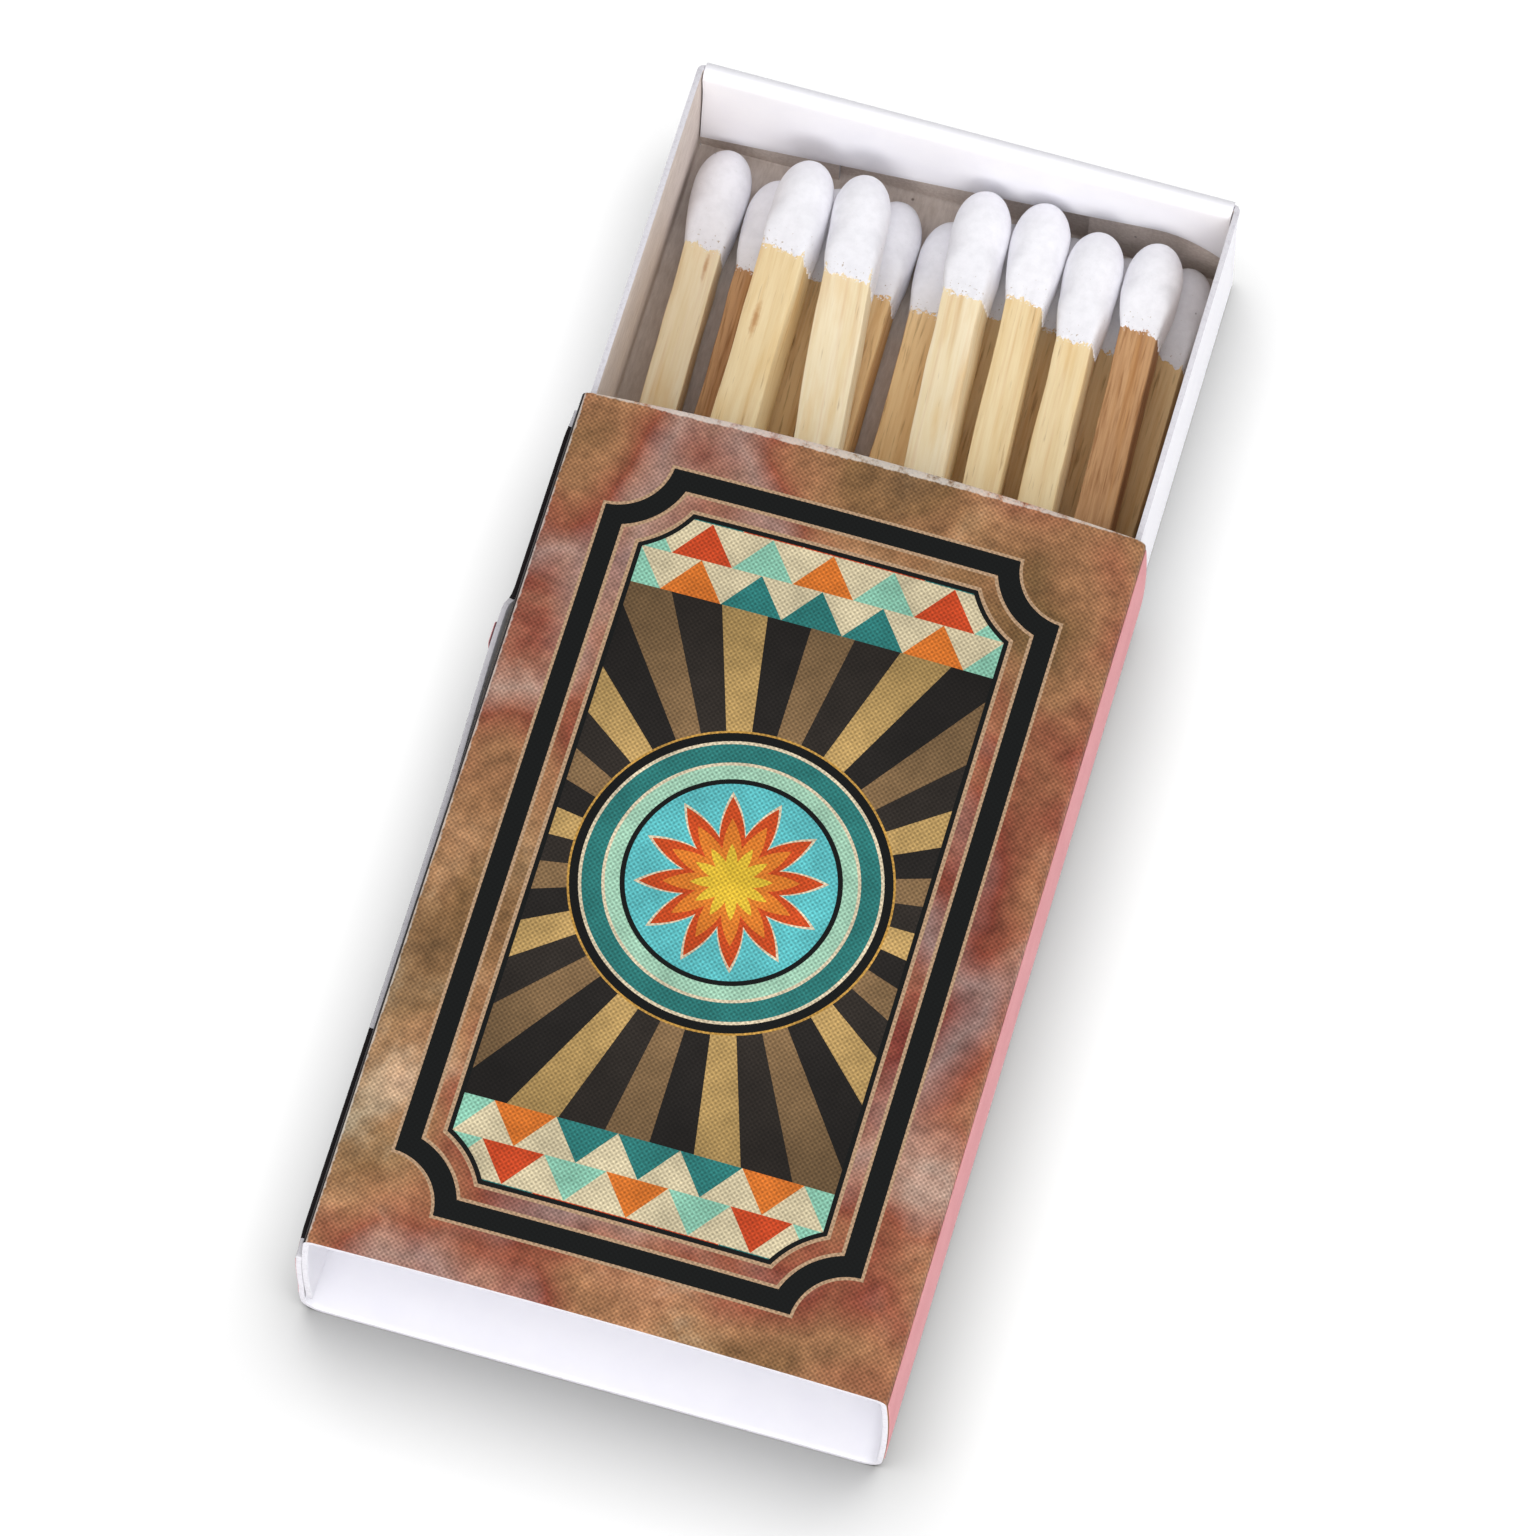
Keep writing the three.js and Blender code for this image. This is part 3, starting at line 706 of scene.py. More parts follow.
def thicken(piece: bpy.types.Object, card: float, softness: float) -> None:
    """Gives a sheet the board's thickness, a finish for its back and its cut edges, and soft arrises.

    Args:
        piece: Object whose mesh is the sheet in the middle of the board.
        card: Thickness of the board.
        softness: Width of the rounding on the cut edges.
    """
    board = piece.modifiers.new("board", "SOLIDIFY")
    board.thickness = card * MM
    board.offset = 0.0
    board.use_even_offset = True
    board.material_offset = 1
    board.material_offset_rim = 2
    arris = piece.modifiers.new("arris", "BEVEL")
    arris.width = softness * MM
    arris.segments = 2
    arris.limit_method = "ANGLE"
    arris.angle_limit = math.radians(BOARD_ARRIS)
    bpy.context.view_layer.update()
    graph = bpy.context.evaluated_depsgraph_get()
    solid = bpy.data.meshes.new_from_object(piece.evaluated_get(graph))
    sheet = piece.data
    piece.modifiers.clear()
    piece.data = solid
    bpy.data.meshes.remove(sheet)
    solid.name = piece.name
    smooth(piece, BOARD_SHARP)


def smooth(piece: bpy.types.Object, angle: float) -> None:
    """Shades a piece smooth, apart from edges sharper than an angle in degrees."""
    piece.data.shade_smooth()
    piece.data.set_sharp_from_angle(angle=math.radians(angle))


@dataclass
class Sleeve:
    """The printed sleeve: a strip of board wrapped round and glued at its left side, with two strikers."""

    body: str = "sleeve"
    length: float = 58.0
    height: float = 12.0
    card: float = 0.36
    side: float = 17.82
    lap: float = 18.31
    upper_crease: float = 0.45
    lower_crease: float = 1.2
    bow: float = 0.2
    crown: float = 0.55
    mouth_arc: float = 0.45
    lap_edge: float = 9.47
    lap_press: float = 0.12
    peel: tuple[float, float] = (0.5, 15.2)
    peel_width: float = 0.3
    peel_low: float = 8.0
    # The lap's free edge slants down towards the near end, and steps down past the peeled part.
    lap_slope: float = 0.55
    slant: tuple[float, float] = (8.0, -14.0)
    drop: tuple[float, float] = (15.2, 16.6)
    # Its ends are pressed flat, and its cut edge is painted dark up to them, as print and as painted shade of
    # the gap, apart from a bare stretch.
    pressed: tuple[float, float] = (27.0, 28.8)
    dark_edge_print_and_shade: float = 27.8
    bare: tuple[float, float] = (-14.0, 15.4)
    flap_edge: float = 1.9
    side_rows: int = 9
    cuts: int = 144
    softness: float = 0.05
    coat: float = 0.06
    coat_gap: float = 0.012
    coat_margin: float = 0.15
    coat_softness: float = 0.04
    coat_low: float = 1.58
    coat_top: tuple[float, float] = (8.37, 11.17)
    # Paint that came off with the lap stands up past its edge here.
    flake: tuple[float, float] = (11.3, 14.2)
    flake_rise: float = 0.95
    flake_lean: float = 0.1

    @property
    def side_low(self) -> float:
        """Where a side panel leaves its lower crease."""
        return self.card / 2 + self.lower_crease

    @property
    def side_high(self) -> float:
        """Where a side panel meets its upper crease."""
        return self.height - self.card / 2 - self.upper_crease

    def bulge(self, height: float) -> float:
        """How far a side panel stands out at a height."""
        middle = (self.side_low + self.side_high) / 2
        half = (self.side_high - self.side_low) / 2
        return max(0.0, self.bow * (1 - ((height - middle) / half) ** 2))

    def side_folds(self, across: float, first: float, last: float) -> list[Fold]:
        """Lines up one side, from one height to another."""
        step = (last - first) / (self.side_rows + 1)
        return [Fold(across, first + step * (row + 1)) for row in range(self.side_rows)]

    def lift(self, along: float) -> float:
        """How far the lap has come away from the flap, as a share, at a place along it."""
        start, end = self.peel
        return smoothstep(end + 0.4, end - 0.4, along) * smoothstep(start, end - 2.0, along)

    def bend_sides(self, bm) -> None:
        """Bows the side panels out, and lifts, slants and presses the lap."""
        for vert in bm.verts:
            place = vert.co.copy()
            if abs(place.x) > self.side - 0.01:
                vert.co.x += math.copysign(self.bulge(place.z), place.x)
            if place.x < -self.lap + 0.05:
                up = smoothstep(5.0, self.lap_edge, place.z)
                curl = max(0.0, (place.z - self.peel_low) / (self.lap_edge - self.peel_low)) ** 2
                vert.co.x -= self.peel_width * curl * self.lift(place.y)
                slope = smoothstep(*self.slant, place.y) + smoothstep(*self.drop, place.y)
                vert.co.z -= self.lap_slope * up * slope
                press = self.lap_press * smoothstep(2.0, 4.0, place.z)
                vert.co.x += press * smoothstep(*self.pressed, abs(place.y))

    def crown_cover(self, bm) -> None:
        """Crowns the cover a little, and rounds the cut of its far end."""
        top = self.height - self.card / 2
        for vert in bm.verts:
            if vert.co.z < top - 0.01:
                continue
            share = max(0.0, 1 - (vert.co.x / self.side) ** 2)
            wave = noise.noise(Vector((vert.co.x * 0.05, vert.co.y * 0.07, 4.2)))
            vert.co.z += share * (self.crown + 0.05 * wave)
            vert.co.y += self.mouth_arc * share * smoothstep(16.0, 29.0, vert.co.y)

    def build_board(self, outside, inside, edge) -> bpy.types.Object:
        """Builds the wrapped board.

        Args:
            outside: Material of the printed face.
            inside: Material of the white face.
            edge: Material of the cut edges.

        Returns:
            The sleeve.
        """
        top = self.height - self.card / 2
        base = self.card / 2
        folds = [
            Fold(-self.side, self.flap_edge),
            *self.side_folds(-self.side, self.flap_edge, self.side_high),
            Fold(-self.side, top, self.upper_crease),
            *(Fold(self.side * share / 8, top) for share in range(-7, 8)),
            Fold(self.side, top, self.upper_crease),
            *self.side_folds(self.side, self.side_high, self.side_low),
            Fold(self.side, base, self.lower_crease),
            Fold(-self.lap, base, self.lower_crease),
            *self.side_folds(-self.lap, self.side_low, self.lap_edge),
            Fold(-self.lap, self.lap_edge),
        ]
        bm = bmesh.new()
        half = self.length / 2
        fold_board(bm, Along.Y, -half, half, self.cuts, folds, Vector((-1, 0, 0)))
        self.bend_sides(bm)
        self.crown_cover(bm)
        board = new_object("sleeve_board", bm, [outside, inside, edge])
        thicken(board, self.card, self.softness)
        # The lap's cut edge is darkened: painted shade of the gap under the crease, and print.
        self.paint_lap_edge_print_and_gap_shade(board.data)
        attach(board, self.body)
        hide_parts("sleeve")
        return board

    def paint_lap_edge_print_and_gap_shade(self, mesh: bpy.types.Mesh) -> None:
        """Gives the lap's free edge the printed face's finish, whose dark lap colour there is painted shade
        of the gap as well as print, apart from where it is bare.
        """
        start, end = self.bare
        for face in mesh.polygons:
            place = face.center / MM
            on_edge = place.x < -self.lap + 0.25 and place.z > self.lap_edge - self.lap_slope - 0.2
            dark_edge_print_and_shade = abs(place.y) < self.dark_edge_print_and_shade and not start < place.y < end
            if face.material_index == 2 and on_edge and dark_edge_print_and_shade:
                face.material_index = 0

    def build_striker(self, node: str, direction: int, paint) -> bpy.types.Object:
        """Builds one striking strip, a coat of paint on a side panel.

        Args:
            node: CAD node that the strip stands for.
            direction: 1 for the right side, -1 for the left.
            paint: Material of the strip.

        Returns:
            The strip.
        """
        board = self.side if direction > 0 else self.lap
        high = self.coat_top[direction > 0]
        across = direction * (board + self.card / 2 + self.coat_gap + self.coat / 2)
        folds = [
            Fold(across, self.coat_low),
            *self.side_folds(across, self.coat_low, high),
            Fold(across, high),
        ]
        bm = bmesh.new()
        half = self.length / 2 - self.coat_margin
        fold_board(bm, Along.Y, -half, half, self.cuts * 2, folds, Vector((direction, 0, 0)))
        start, end = self.flake
        for vert in bm.verts:
            place = vert.co.copy()
            rim = smoothstep(high - 0.6, high, place.z)
            rim -= smoothstep(self.coat_low + 0.6, self.coat_low, place.z)
            vert.co.z += rim * 0.05 * noise.noise(Vector((direction * 9.0, place.y * 1.7, place.z)))
            if direction < 0:
                loose = smoothstep(start, start + 1, place.y) * smoothstep(end, end - 0.5, place.y)
                vert.co.z += self.flake_rise * loose * smoothstep(high - 2.0, high, place.z)
                vert.co.x -= self.flake_lean * loose * smoothstep(high - 1.0, high, place.z)
        self.bend_sides(bm)
        strip = new_object(node + "_coat", bm, [paint, paint, paint])
        thicken(strip, self.coat, self.coat_softness)
        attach(strip, self.body)
        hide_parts(node)
        strip.visible_diffuse = False
        return strip


@dataclass
class Tray:
    """The sliding tray: one folded blank, white outside, with doubled ends over corner tabs."""

    body: str = "tray"
    pull: float = 24.8
    card: float = 0.36
    wall: float = 17.34
    floor: float = 0.69
    rim: float = 11.14
    crease: float = 0.4
    softness: float = 0.05
    wall_cuts: int = 55
    end_cuts: int = 95
    tab_cuts: int = 9
    half_length: float = 28.8
    end_stack: float = 1.28
    fold_radius: float = 0.455
    flap_half: float = 16.81
    flap_low: float = 2.74
    flap_high: float = 7.24
    flap_corner: float = 4.6
    flap_drop: float = 2.6
    flare: tuple[float, float] = (-0.2, 0.07)
    tab_start: float = 27.86
    tab_line: float = 28.16
    tab_bend: float = 16.9
    tab_tip: float = 8.16
    tab_low: float = 0.8
    tab_high: float = 10.4

    @property
    def panel(self) -> float:
        """Middle of an end panel's board."""
        return self.half_length - self.card / 2

    @property
    def flap(self) -> float:
        """Middle of an end flap's board."""
        return self.half_length - self.end_stack + self.card / 2

    @property
    def fold_top(self) -> float:
        """Middle of the board on top of an end fold."""
        return self.rim - self.card / 2

    def free_edge(self, across: float) -> float:
        """Height of an end flap's free edge, which slants up and turns down at its right end."""
        slope = (self.flap_high - self.flap_low) / (2 * self.flap_half)
        start = self.flap_half - self.flap_corner
        if across <= start:
            return self.flap_low + slope * (across + self.flap_half)
        turn = min(1.0, (across - start) / self.flap_corner)
        first = self.flap_high - slope * self.flap_corner
        middle = self.flap_high - slope * self.flap_corner / 2
        last = self.flap_high - self.flap_drop
        return (1 - turn) ** 2 * first + 2 * turn * (1 - turn) * middle + turn ** 2 * last

    def flare_walls(self, bm) -> None:
        """Leans the long walls and the corners out, most at the foot and a little at the rim."""
        # Known fault: copysign drops the sign of the lean, so the foot, meant to lean in, leans out by 0.2 mm
        # and goes up to 0.18 mm into the sleeve's lower creases.
        foot, rim = self.flare
        for vert in bm.verts:
            share = (vert.co.z - self.floor) / (self.rim - self.floor)
            wave = noise.noise(Vector((math.copysign(3.0, vert.co.x), vert.co.y * 0.09, 1.3)))
            lean = foot + (rim - foot) * share - 0.03 * share * abs(wave)
            vert.co.x += math.copysign(lean * smoothstep(14.5, 17.0, abs(vert.co.x)), vert.co.x)

    def fold_channel(self, bm) -> None:
        """Folds the floor and the two long walls."""
        step = (self.rim - self.floor) / 6
        up = [self.floor + step * row for row in range(1, 6)]
        folds = [
            Fold(-self.wall, self.rim),
            *(Fold(-self.wall, height) for height in reversed(up)),
            Fold(-self.wall, self.floor, self.crease),
            Fold(self.wall, self.floor, self.crease),
            *(Fold(self.wall, height) for height in up),
            Fold(self.wall, self.rim),
        ]
        fold_board(bm, Along.Y, -self.tab_start, self.tab_start, self.wall_cuts, folds, Vector((-1, 0, 0)))

    def fold_end(self, bm) -> None:
        """Folds one end: its panel, the fold over the top, and the flap inside."""
        wide = self.wall - 0.02
        shoulder = self.flap_half / wide
        start = self.fold_top - self.fold_radius
        rows = [start - step for step in (0.4, 1.4, 2.4, 3.4, 4.4, 5.4, 6.4, 7.2)]
        lowest = rows[-1]
        folds = [
            Fold(self.tab_start, self.floor, 0.0, 0.985),
            Fold(self.panel, self.floor, self.crease, 0.985),
            Fold(self.panel, self.floor + 0.62),
            Fold(self.panel, start - 0.35),
            Fold(self.panel, start - 0.1, 0.0, shoulder),
            Fold(self.panel, self.fold_top, self.fold_radius, shoulder),
            Fold(self.flap, self.fold_top, self.fold_radius, shoulder),
            *(Fold(self.flap, height, 0.0, shoulder) for height in rows),
        ]
        fold_board(bm, Along.X, -wide, wide, self.end_cuts, folds, Vector((0, 0, -1)))
        for vert in bm.verts:
            inside = abs(vert.co.y - self.flap) < 0.02 and vert.co.z < start - 0.01
            if inside:
                share = (start - vert.co.z) / (start - lowest)
                vert.co.z = start + share * (self.free_edge(vert.co.x) - start)
                vert.co.y += 0.07 * share * noise.noise(Vector((vert.co.x * 0.08, share, 7.7)))
            if vert.co.y < self.panel - 0.05 and vert.co.z > self.flap_low - 0.5:
                spread = 0.27 * smoothstep(9.0, self.flap_half, abs(vert.co.x))
                vert.co.x += math.copysign(spread, vert.co.x)

    def fold_tab(self, bm, direction: int) -> None:
        """Folds one corner tab in behind the end panel."""
        tab = bmesh.new()
        across = direction * self.wall
        folds = [
            Fold(across, self.tab_start),
            Fold(across, self.tab_line, 0.2),
            Fold(direction * self.tab_bend, self.tab_line),
            Fold(direction * self.tab_tip, self.tab_line),
        ]
        facing = Vector((direction, 0, 0))
        fold_board(tab, Along.Z, self.tab_low, self.tab_high, self.tab_cuts, folds, facing)
        tall = (self.rim - 0.05 - self.tab_low) / (self.tab_high - self.tab_low)
        for vert in tab.verts:
            if abs(vert.co.x) > self.tab_bend + 0.05:
                vert.co.z = self.tab_low + (vert.co.z - self.tab_low) * tall
        join_mesh(bm, tab)
        tab.free()

    def build_board(self, outside, inside, edge) -> bpy.types.Object:
        """Builds the folded blank.

        Args:
            outside: Material of the coated face.
            inside: Material of the uncoated face.
            edge: Material of the cut edges.

        Returns:
            The tray.
        """
        bm = bmesh.new()
        self.fold_channel(bm)
        end = bmesh.new()
        self.fold_end(end)
        self.fold_tab(end, -1)
        self.fold_tab(end, 1)
        for _ in range(2):
            join_mesh(bm, end)
            bmesh.ops.rotate(end, verts=end.verts, cent=(0, 0, 0), matrix=Matrix.Rotation(math.pi, 3, "Z"))
        end.free()
        self.flare_walls(bm)
        bmesh.ops.translate(bm, verts=bm.verts, vec=(0, self.pull, 0))
        board = new_object("tray_board", bm, [outside, inside, edge])
        thicken(board, self.card, self.softness)
        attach(board, self.body)
        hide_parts("tray")
        return board


class Tone(Enum):
    """How dark a stick's wood is, from cream to brown. The amber step is painted warm shade for the lower
    sticks.
    """

    CREAM = 0.0
    STRAW = 0.3
    # Given to the lower sticks: its warm colour is painted shade of light bounced between the sticks.
    AMBER_PAINTED_SHADE = 0.68
    BROWN = 1.0


@dataclass(frozen=True)
class Knot:
    """A stained spot on a stick: its middle, half width, half length and how dark its core is."""

    middle: tuple[float, float, float]
    width: float
    length: float
    dark: float

    def way(self, point: Vector) -> Vector:
        """The way from the knot to a point, in knot widths and lengths."""
        apart = point - Vector(self.middle)
        return Vector((apart.x / self.width, apart.y / self.length, apart.z / (3 * self.width)))


@dataclass
class Match:
    """One match: a split stick and its dipped head, along the axis of its CAD nodes."""

    number: int
    side: float
    roll: float = 0.0
    tone: Tone = Tone.STRAW
    tilt: float = 0.35
    head_length: float = 7.1
    knot: Knot | None = None
    body: str = "tray"
    length: float = 50.24
    head_width: float = 3.7
    tip_length: float = 2.8
    socket: float = 1.8
    coat: float = 0.07
    arris: float = 0.14
    side_cuts: int = 5
    length_cuts: int = 110
    head_steps: int = 80

    @property
    def stick_node(self) -> str:
        """Name of the stick's CAD node."""
        return f"match_{self.number:02d}_stick"

    @property
    def head_node(self) -> str:
        """Name of the head's CAD node."""
        return f"match_{self.number:02d}_head"

    @property
    def skirt(self) -> float:
        """Where the head's lower border lies along the match."""
        return self.length - self.head_length

    @property
    def seed(self) -> Vector:
        """A place in the noise that no other match uses."""
        return Vector((self.number * 17.3, self.number * 5.1, self.number * 11.9))

    def axes(self, nodes: dict) -> Matrix:
        """Finds where the match lies, from the two ends of its CAD stick.

        Args:
            nodes: CAD objects by name.

        Returns:
            The turn and place of the match in millimetres, its tail at the origin and +Y to its tip.
        """
        points = {tuple(round(value / MM, 4) for value in vert.co)
                  for vert in nodes[self.stick_node].data.vertices}
        low = min(point[1] for point in points)
        high = max(point[1] for point in points)
        tail = [Vector(point) for point in points if point[1] < low + 2]
        top = [Vector(point) for point in points if point[1] > high - 2]
        start = sum(tail, Vector()) / len(tail)
        along = (sum(top, Vector()) / len(top) - start).normalized()
        across = along.cross(Vector((0, 0, 1))).normalized()
        up = across.cross(along)
        turn = Matrix((across, along, up)).transposed().to_4x4()
        return Matrix.Translation(start) @ turn @ Matrix.Rotation(math.radians(-self.roll), 4, "Y")

    def build_stick(self, axes: Matrix, wood) -> bpy.types.Object:
        """Builds the stick, a little uneven as split wood is.

        Args:
            axes: Turn and place of the match.
            wood: Its material.

        Returns:
            The stick.
        """
        bm = bmesh.new()
        length = self.skirt + self.socket
        bmesh.ops.create_cube(bm, size=1.0)
        bmesh.ops.scale(bm, verts=bm.verts, vec=(self.side, length, self.side))
        bmesh.ops.translate(bm, verts=bm.verts, vec=(0, length / 2, 0))
        arrises = [edge for edge in bm.edges if abs(edge.verts[0].co.y - edge.verts[1].co.y) > 1]
        bmesh.ops.bevel(bm, geom=arrises, offset=self.arris, offset_type="OFFSET", affect="EDGES",
                        segments=2, profile=0.5, material=-1)
        across = [edge for edge in bm.edges if 1 < edge.calc_length() < 5]
        bmesh.ops.subdivide_edges(bm, edges=across, cuts=self.side_cuts, use_grid_fill=True)
        lengthways = [edge for edge in bm.edges if edge.calc_length() > 20]
        bmesh.ops.subdivide_edges(bm, edges=lengthways, cuts=self.length_cuts, use_grid_fill=True)
        self.weather(bm)
        grain = bm.verts.layers.float_vector.new("grain")
        tone = bm.verts.layers.float.new("tone")
        below = bm.verts.layers.float.new("below")
        knot = bm.verts.layers.float_vector.new("knot")
        dark = bm.verts.layers.float.new("dark")
        for vert in bm.verts:
            vert[grain] = vert.co + self.seed
            vert[tone] = self.tone.value
            vert[below] = self.skirt - self.tilt * vert.co.x / self.side - vert.co.y
            vert[knot] = self.knot.way(vert.co) if self.knot else Vector((9, 9, 9))
            vert[dark] = self.knot.dark if self.knot else 0.0
        bmesh.ops.transform(bm, verts=bm.verts, matrix=axes)
        stick = new_object(self.stick_node + "_wood", bm, [wood])
        smooth(stick, WOOD_SHARP)
        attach(stick, self.body)
        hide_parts(self.stick_node)
        return stick

    def weather(self, bm) -> None:
        """Wavers the stick's faces and breaks its arrises a little."""
        for vert in bm.verts:
            place = vert.co.copy()
            drift = noise.noise(Vector((place.y * 0.07, 0.0, 0.0)) + self.seed)
            thick = noise.noise(Vector((place.y * 0.11, 4.0, 0.0)) + self.seed)
            fine = noise.noise(Vector((place.x * 0.5, place.y * 0.35, place.z * 0.5)) + self.seed)
            flat = Vector((place.x, 0, place.z))
            free = smoothstep(self.skirt + 0.5, self.skirt - 2.5, place.y)
            vert.co += flat * (free * (0.05 * thick + 0.05 * fine))
            vert.co.x += free * 0.09 * drift

    def profile(self) -> list[tuple[float, float]]:
        """The head's half section: radius and height above the lower border, from inside to the tip."""
        base = self.side / 2 + self.coat
        wide = self.head_width / 2
        body = self.head_length - self.tip_length
        points = [(0.0, 0.6), (base * 0.55, 0.5), (base - 0.3, 0.2), (base - 0.12, 0.0)]
        for step in range(19):
            share = step / 18
            swell = math.sin(share * math.pi / 2) ** 1.15
            points.append((base + (wide - base) * swell, 0.02 + share * (body - 0.02)))
        for step in range(1, 15):
            turn = step / 14 * math.pi / 2
            points.append((wide * math.cos(turn) ** 0.92, body + self.tip_length * math.sin(turn)))
        return points[:-1] + [(0.0, self.head_length)]

    def build_head(self, axes: Matrix, paste) -> bpy.types.Object:
        """Builds the head: square where the paste thins out on the stick, and round at its tip.

        Args:
            axes: Turn and place of the match.
            paste: Its material.

        Returns:
            The head.
        """
        bm = bmesh.new()
        line = [bm.verts.new((radius, height, 0)) for radius, height in self.profile()]
        edges = [bm.edges.new(pair) for pair in zip(line, line[1:])]
        bmesh.ops.spin(bm, geom=line + edges, cent=(0, 0, 0), axis=(0, 1, 0), angle=math.tau,
                       steps=self.head_steps, use_merge=True)
        bmesh.ops.remove_doubles(bm, verts=bm.verts, dist=0.0005)
        grain = bm.verts.layers.float_vector.new("grain")
        above = bm.verts.layers.float.new("above")
        for vert in bm.verts:
            vert[above] = vert.co.y
            self.shape_head(vert)
            vert[grain] = vert.co + self.seed
        bmesh.ops.recalc_face_normals(bm, faces=bm.faces)
        bmesh.ops.translate(bm, verts=bm.verts, vec=(0, self.skirt, 0))
        bmesh.ops.transform(bm, verts=bm.verts, matrix=axes)
        head = new_object(self.head_node + "_paste", bm, [paste])
        smooth(head, PASTE_SHARP)
        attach(head, self.body)
        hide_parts(self.head_node)
        return head

    def shape_head(self, vert) -> None:
        """Squares the head's lower end, makes its border ragged and its surface a little uneven."""
        place = vert.co.copy()
        radius = math.hypot(place.x, place.z)
        if radius < 1e-6:
            return
        way = Vector((place.x / radius, 0, place.z / radius))
        power = 2 + 5 * (1 - smoothstep(0.2, 3.6, place.y))
        spread = (abs(way.x) ** power + abs(way.z) ** power) ** (1 / power)
        lump = noise.noise(place * 0.55 + self.seed) * 0.036 + noise.noise(place * 2.4 + self.seed) * 0.014
        vert.co = way * (radius / spread + lump * smoothstep(0.0, 1.2, place.y))
        ragged = 0.3 * noise.noise(way * 1.6 + self.seed) + 0.26 * noise.noise(way * 5.0 + self.seed)
        ragged += 0.2 * noise.noise(way * 14.0 + self.seed)
        border = 1 - smoothstep(0.0, 1.4, place.y)
        vert.co.y = place.y + border * (ragged - self.tilt * way.x)


@dataclass(frozen=True)
class Lamp:
    """A soft square lamp that looks at the box, and lights either the floor or all the rest."""

    name: str
    at: tuple[float, float, float]
    size: float
    power: float
    lights_floor: bool = False

    def hang(self, aim: Vector, floor: bpy.types.Object) -> None:
        """Hangs the lamp.

        Args:
            aim: Place that it looks at, in millimetres.
            floor: The floor.
        """
        data = bpy.data.lights.new(self.name, "AREA")
        data.size = self.size * MM
        data.energy = self.power
        lamp = bpy.data.objects.new(self.name, data)
        place = Vector(self.at) * MM
        lamp.location = place
        lamp.rotation_euler = (aim * MM - place).to_track_quat("-Z", "Y").to_euler()
        bpy.context.scene.collection.objects.link(lamp)
        group = bpy.data.collections.new(self.name + "_light")
        group.objects.link(floor)
        group.collection_objects[0].light_linking.link_state = "INCLUDE" if self.lights_floor else "EXCLUDE"
        lamp.light_linking.receiver_collection = group


@dataclass
class Studio:
    """The pale floor, the soft light and the camera."""

    camera_at: tuple[float, float, float] = (54.918, -206.443, 534.392)
    camera_turn: tuple[float, float, float] = (22.954, -0.765, 16.174)
    lens: float = 219.79
    sensor: float = 36.0
    sky: float = 0.34
    # The floor is grey under a strong lamp of its own, so that the white walls throw little light on it.
    floor_grey: float = 0.2
    floor_size: float = 2000.0
    floor_drop: float = 0.02
    lift: float = 0.03
    aim: tuple[float, float, float] = (0.0, 12.0, 0.0)
    lamps: tuple[Lamp, ...] = (
        Lamp("over", (0, 250, 1600), 1560, 164.0, True),
        Lamp("near", (40, -370, 565), 600, 1.95),
        Lamp("low", (110, -640, 255), 320, 2.08),
        Lamp("right", (430, 60, 440), 420, 1.15),
        Lamp("left", (-420, -40, 520), 420, 0.7),
    )

    def build_camera(self) -> None:
        """Puts the camera where the photograph was taken from."""
        data = bpy.data.cameras.new("camera")
        data.lens = self.lens
        data.sensor_width = self.sensor
        camera = bpy.data.objects.new("camera", data)
        camera.location = Vector(self.camera_at) * MM
        camera.rotation_euler = Euler(math.radians(angle) for angle in self.camera_turn)
        bpy.context.scene.collection.objects.link(camera)
        bpy.context.scene.camera = camera

    def build_floor(self) -> bpy.types.Object:
        """Lays the floor, white to the eye where no shadow falls."""
        bm = bmesh.new()
        bmesh.ops.create_grid(bm, x_segments=1, y_segments=1, size=self.floor_size)
        bmesh.ops.translate(bm, verts=bm.verts, vec=(0, 0, -self.floor_drop))
        material = bpy.data.materials.new("white_paper_sweep")
        material.use_nodes = True
        material.node_tree.nodes.clear()
        graph = Graph(material.node_tree)
        matt = graph.add("BsdfDiffuse", {"Color": (*(self.floor_grey,) * 3, 1)})
        bright = graph.add("Emission", {"Color": (1, 1, 1, 1), "Strength": self.lift})
        none = graph.add("Emission", {"Strength": 0.0})
        extra = graph.add("MixShader", {0: graph.seen(), 1: none, 2: bright})
        both = graph.add("AddShader", {0: matt, 1: extra})
        graph.add("OutputMaterial", {"Surface": both})
        floor = new_object("floor", bm, [material])
        return floor

    def build_world(self) -> None:
        """Lights the scene evenly from all round, white behind everything."""
        world = bpy.data.worlds.new("studio")
        world.use_nodes = True
        world.node_tree.nodes.clear()
        graph = Graph(world.node_tree)
        soft = graph.add("Background", {"Color": (1, 1, 1, 1), "Strength": self.sky})
        white = graph.add("Background", {"Color": (1, 1, 1, 1), "Strength": 1.0})
        mixed = graph.add("MixShader", {0: graph.seen(), 1: soft, 2: white})
        graph.add("OutputWorld", {"Surface": mixed})
        bpy.context.scene.world = world

    def build(self) -> None:
        """Builds the whole studio: one lamp makes the floor's soft shadow, four light the box."""
        self.build_camera()
        floor = self.build_floor()
        self.build_world()
        for lamp in self.lamps:
            lamp.hang(Vector(self.aim), floor)
        bpy.context.scene.view_settings.view_transform = "Standard"


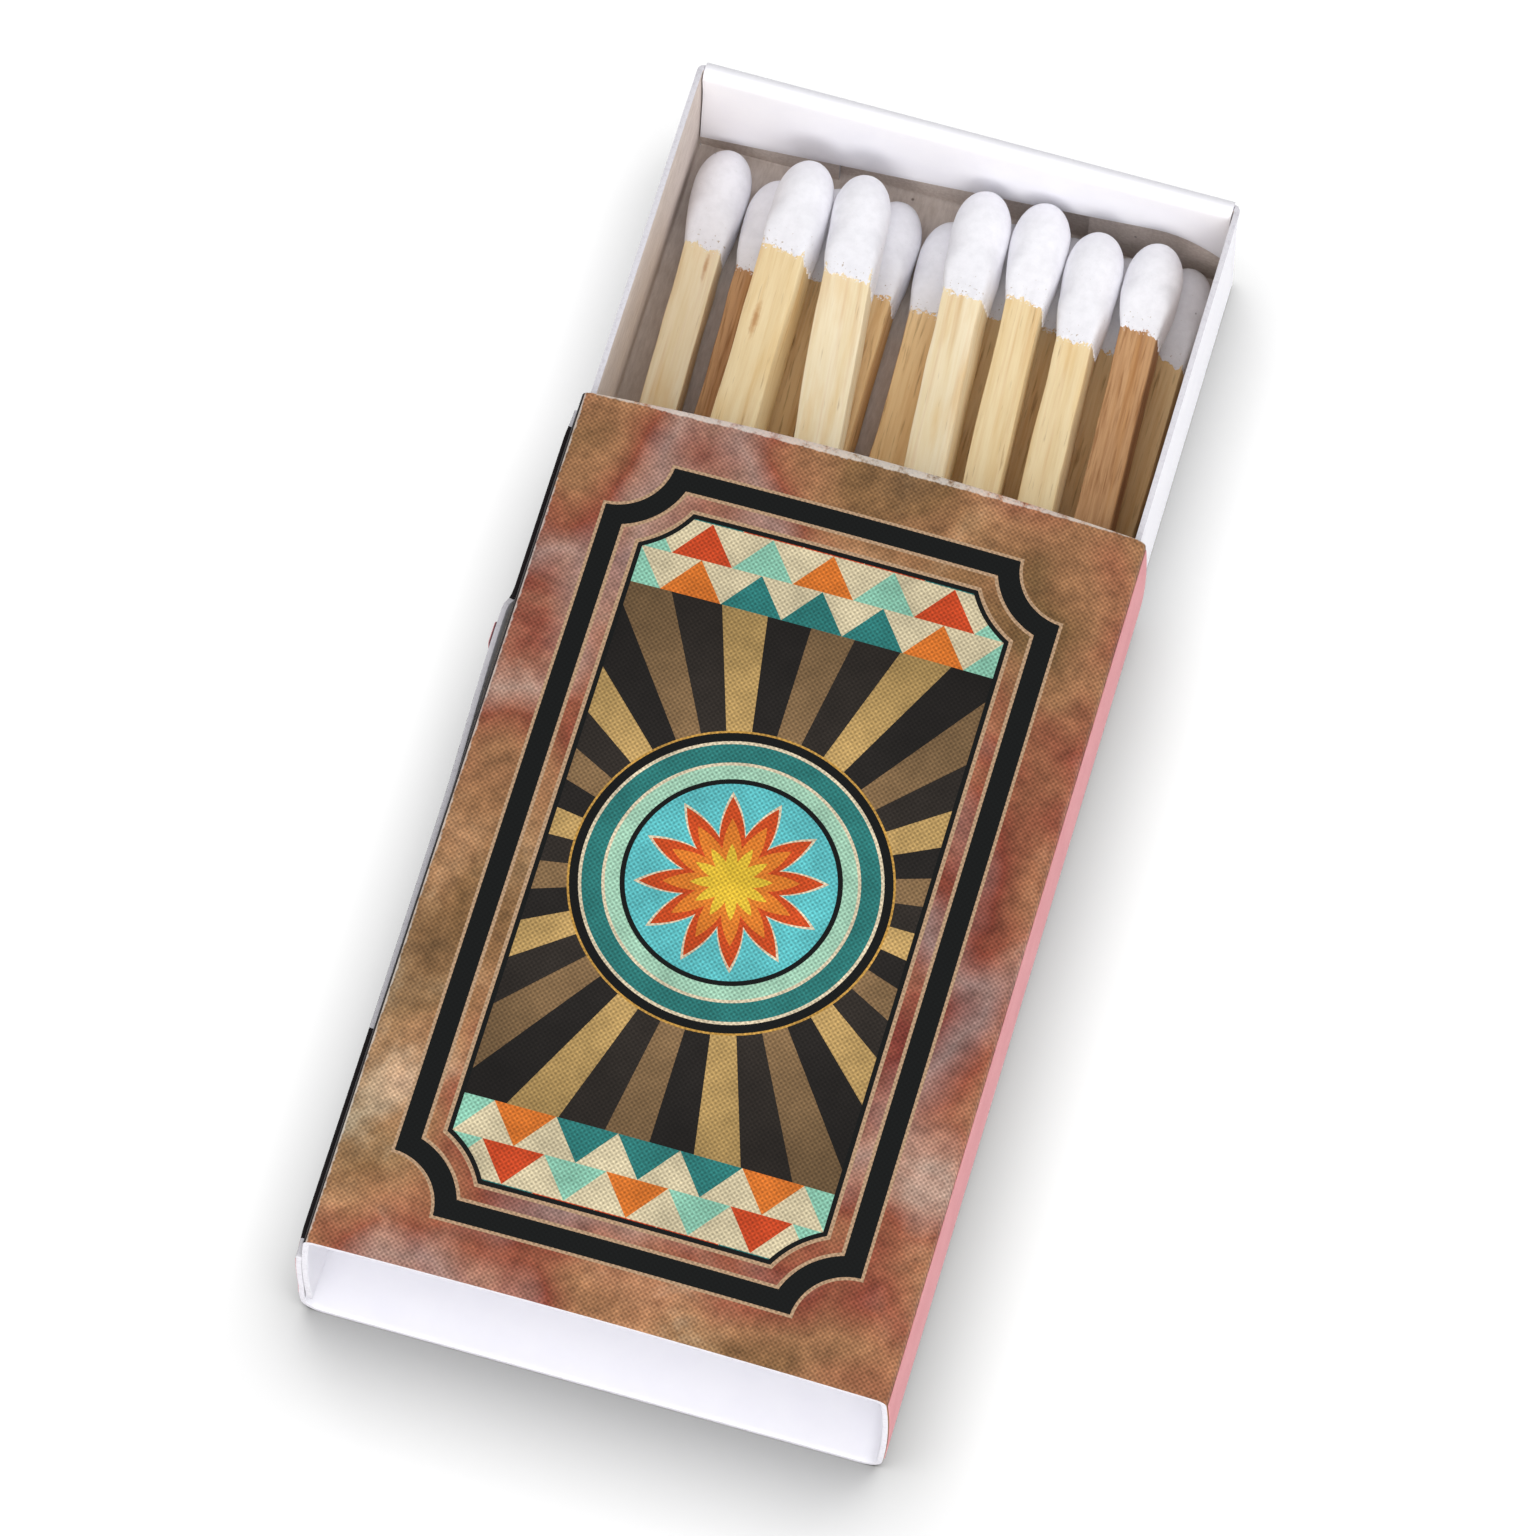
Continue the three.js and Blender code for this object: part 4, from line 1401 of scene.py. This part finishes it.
MATCHES = (
    Match(1, 2.44, 2, Tone.CREAM, 0.3, 7.35, Knot((0.5, 41.6, 1.2), 0.12, 0.8, 0.0)),
    Match(2, 2.6, 4, Tone.BROWN, 0.2),
    # Matches 3 to 9 lie in the lower layer and take the amber painted warm shade.
    Match(3, 2.73, -3, Tone.AMBER_PAINTED_SHADE, 0.2),
    Match(4, 2.55, 6, Tone.AMBER_PAINTED_SHADE, 0.5),
    Match(5, 2.7, 0, Tone.AMBER_PAINTED_SHADE, 0.1),
    Match(6, 2.6, 5, Tone.AMBER_PAINTED_SHADE, 0.2),
    Match(7, 2.5, -4, Tone.AMBER_PAINTED_SHADE, 0.2),
    Match(8, 2.65, 3, Tone.AMBER_PAINTED_SHADE, 0.2),
    Match(9, 2.81, 8, Tone.AMBER_PAINTED_SHADE, 0.6, 7.0, Knot((-0.75, 39.3, 1.35), 0.2, 0.85, 1.0)),
    Match(10, 2.91, 11, Tone.STRAW, 0.6, 6.9, Knot((-0.45, 38.4, 1.4), 0.2, 1.0, 0.1)),
    Match(11, 3.02, 3, Tone.CREAM, 0.4, 7.6),
    Match(12, 2.6, 12, Tone.CREAM, 0.3, 7.7),
    Match(13, 2.39, 3, Tone.STRAW, 0.35, 7.3),
    Match(14, 2.34, 8, Tone.STRAW, 0.3, 8.0),
    Match(15, 2.44, 6, Tone.BROWN, 0.3, 6.5),
)


def dress_glue(node: bpy.types.Object, glue: bpy.types.Material) -> None:
    """Gives the glue film, which keeps its CAD shape, its own finish."""
    node.data.materials.clear()
    node.data.materials.append(glue)


def main() -> None:
    """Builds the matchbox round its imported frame, and the studio."""
    logging.basicConfig(level=logging.INFO, format="%(name)s %(message)s")
    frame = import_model()
    Studio().build()
    coated = CoatedBoard().make()
    pulp = PulpBoard().make()
    cut = CutBoard().make()
    sleeve = Sleeve()
    pieces = [sleeve.build_board(PrintedBoard().make(), coated, cut)]
    paint = StrikerPaint().make()
    pieces.append(sleeve.build_striker("striker_right", 1, paint))
    pieces.append(sleeve.build_striker("striker_left", -1, paint))
    dress_glue(frame["nodes"]["sleeve_glue_seam"], DriedGlue().make())
    pieces.append(Tray().build_board(coated, pulp, cut))
    wood = AspenSplint().make()
    paste = MatchPaste().make()
    for match in MATCHES:
        axes = match.axes(frame["nodes"])
        pieces.append(match.build_stick(axes, wood))
        pieces.append(match.build_head(axes, paste))
    for piece in pieces:
        log.info("%s: %d faces", piece.name, len(piece.data.polygons))


if __name__ == "__main__":
    main()
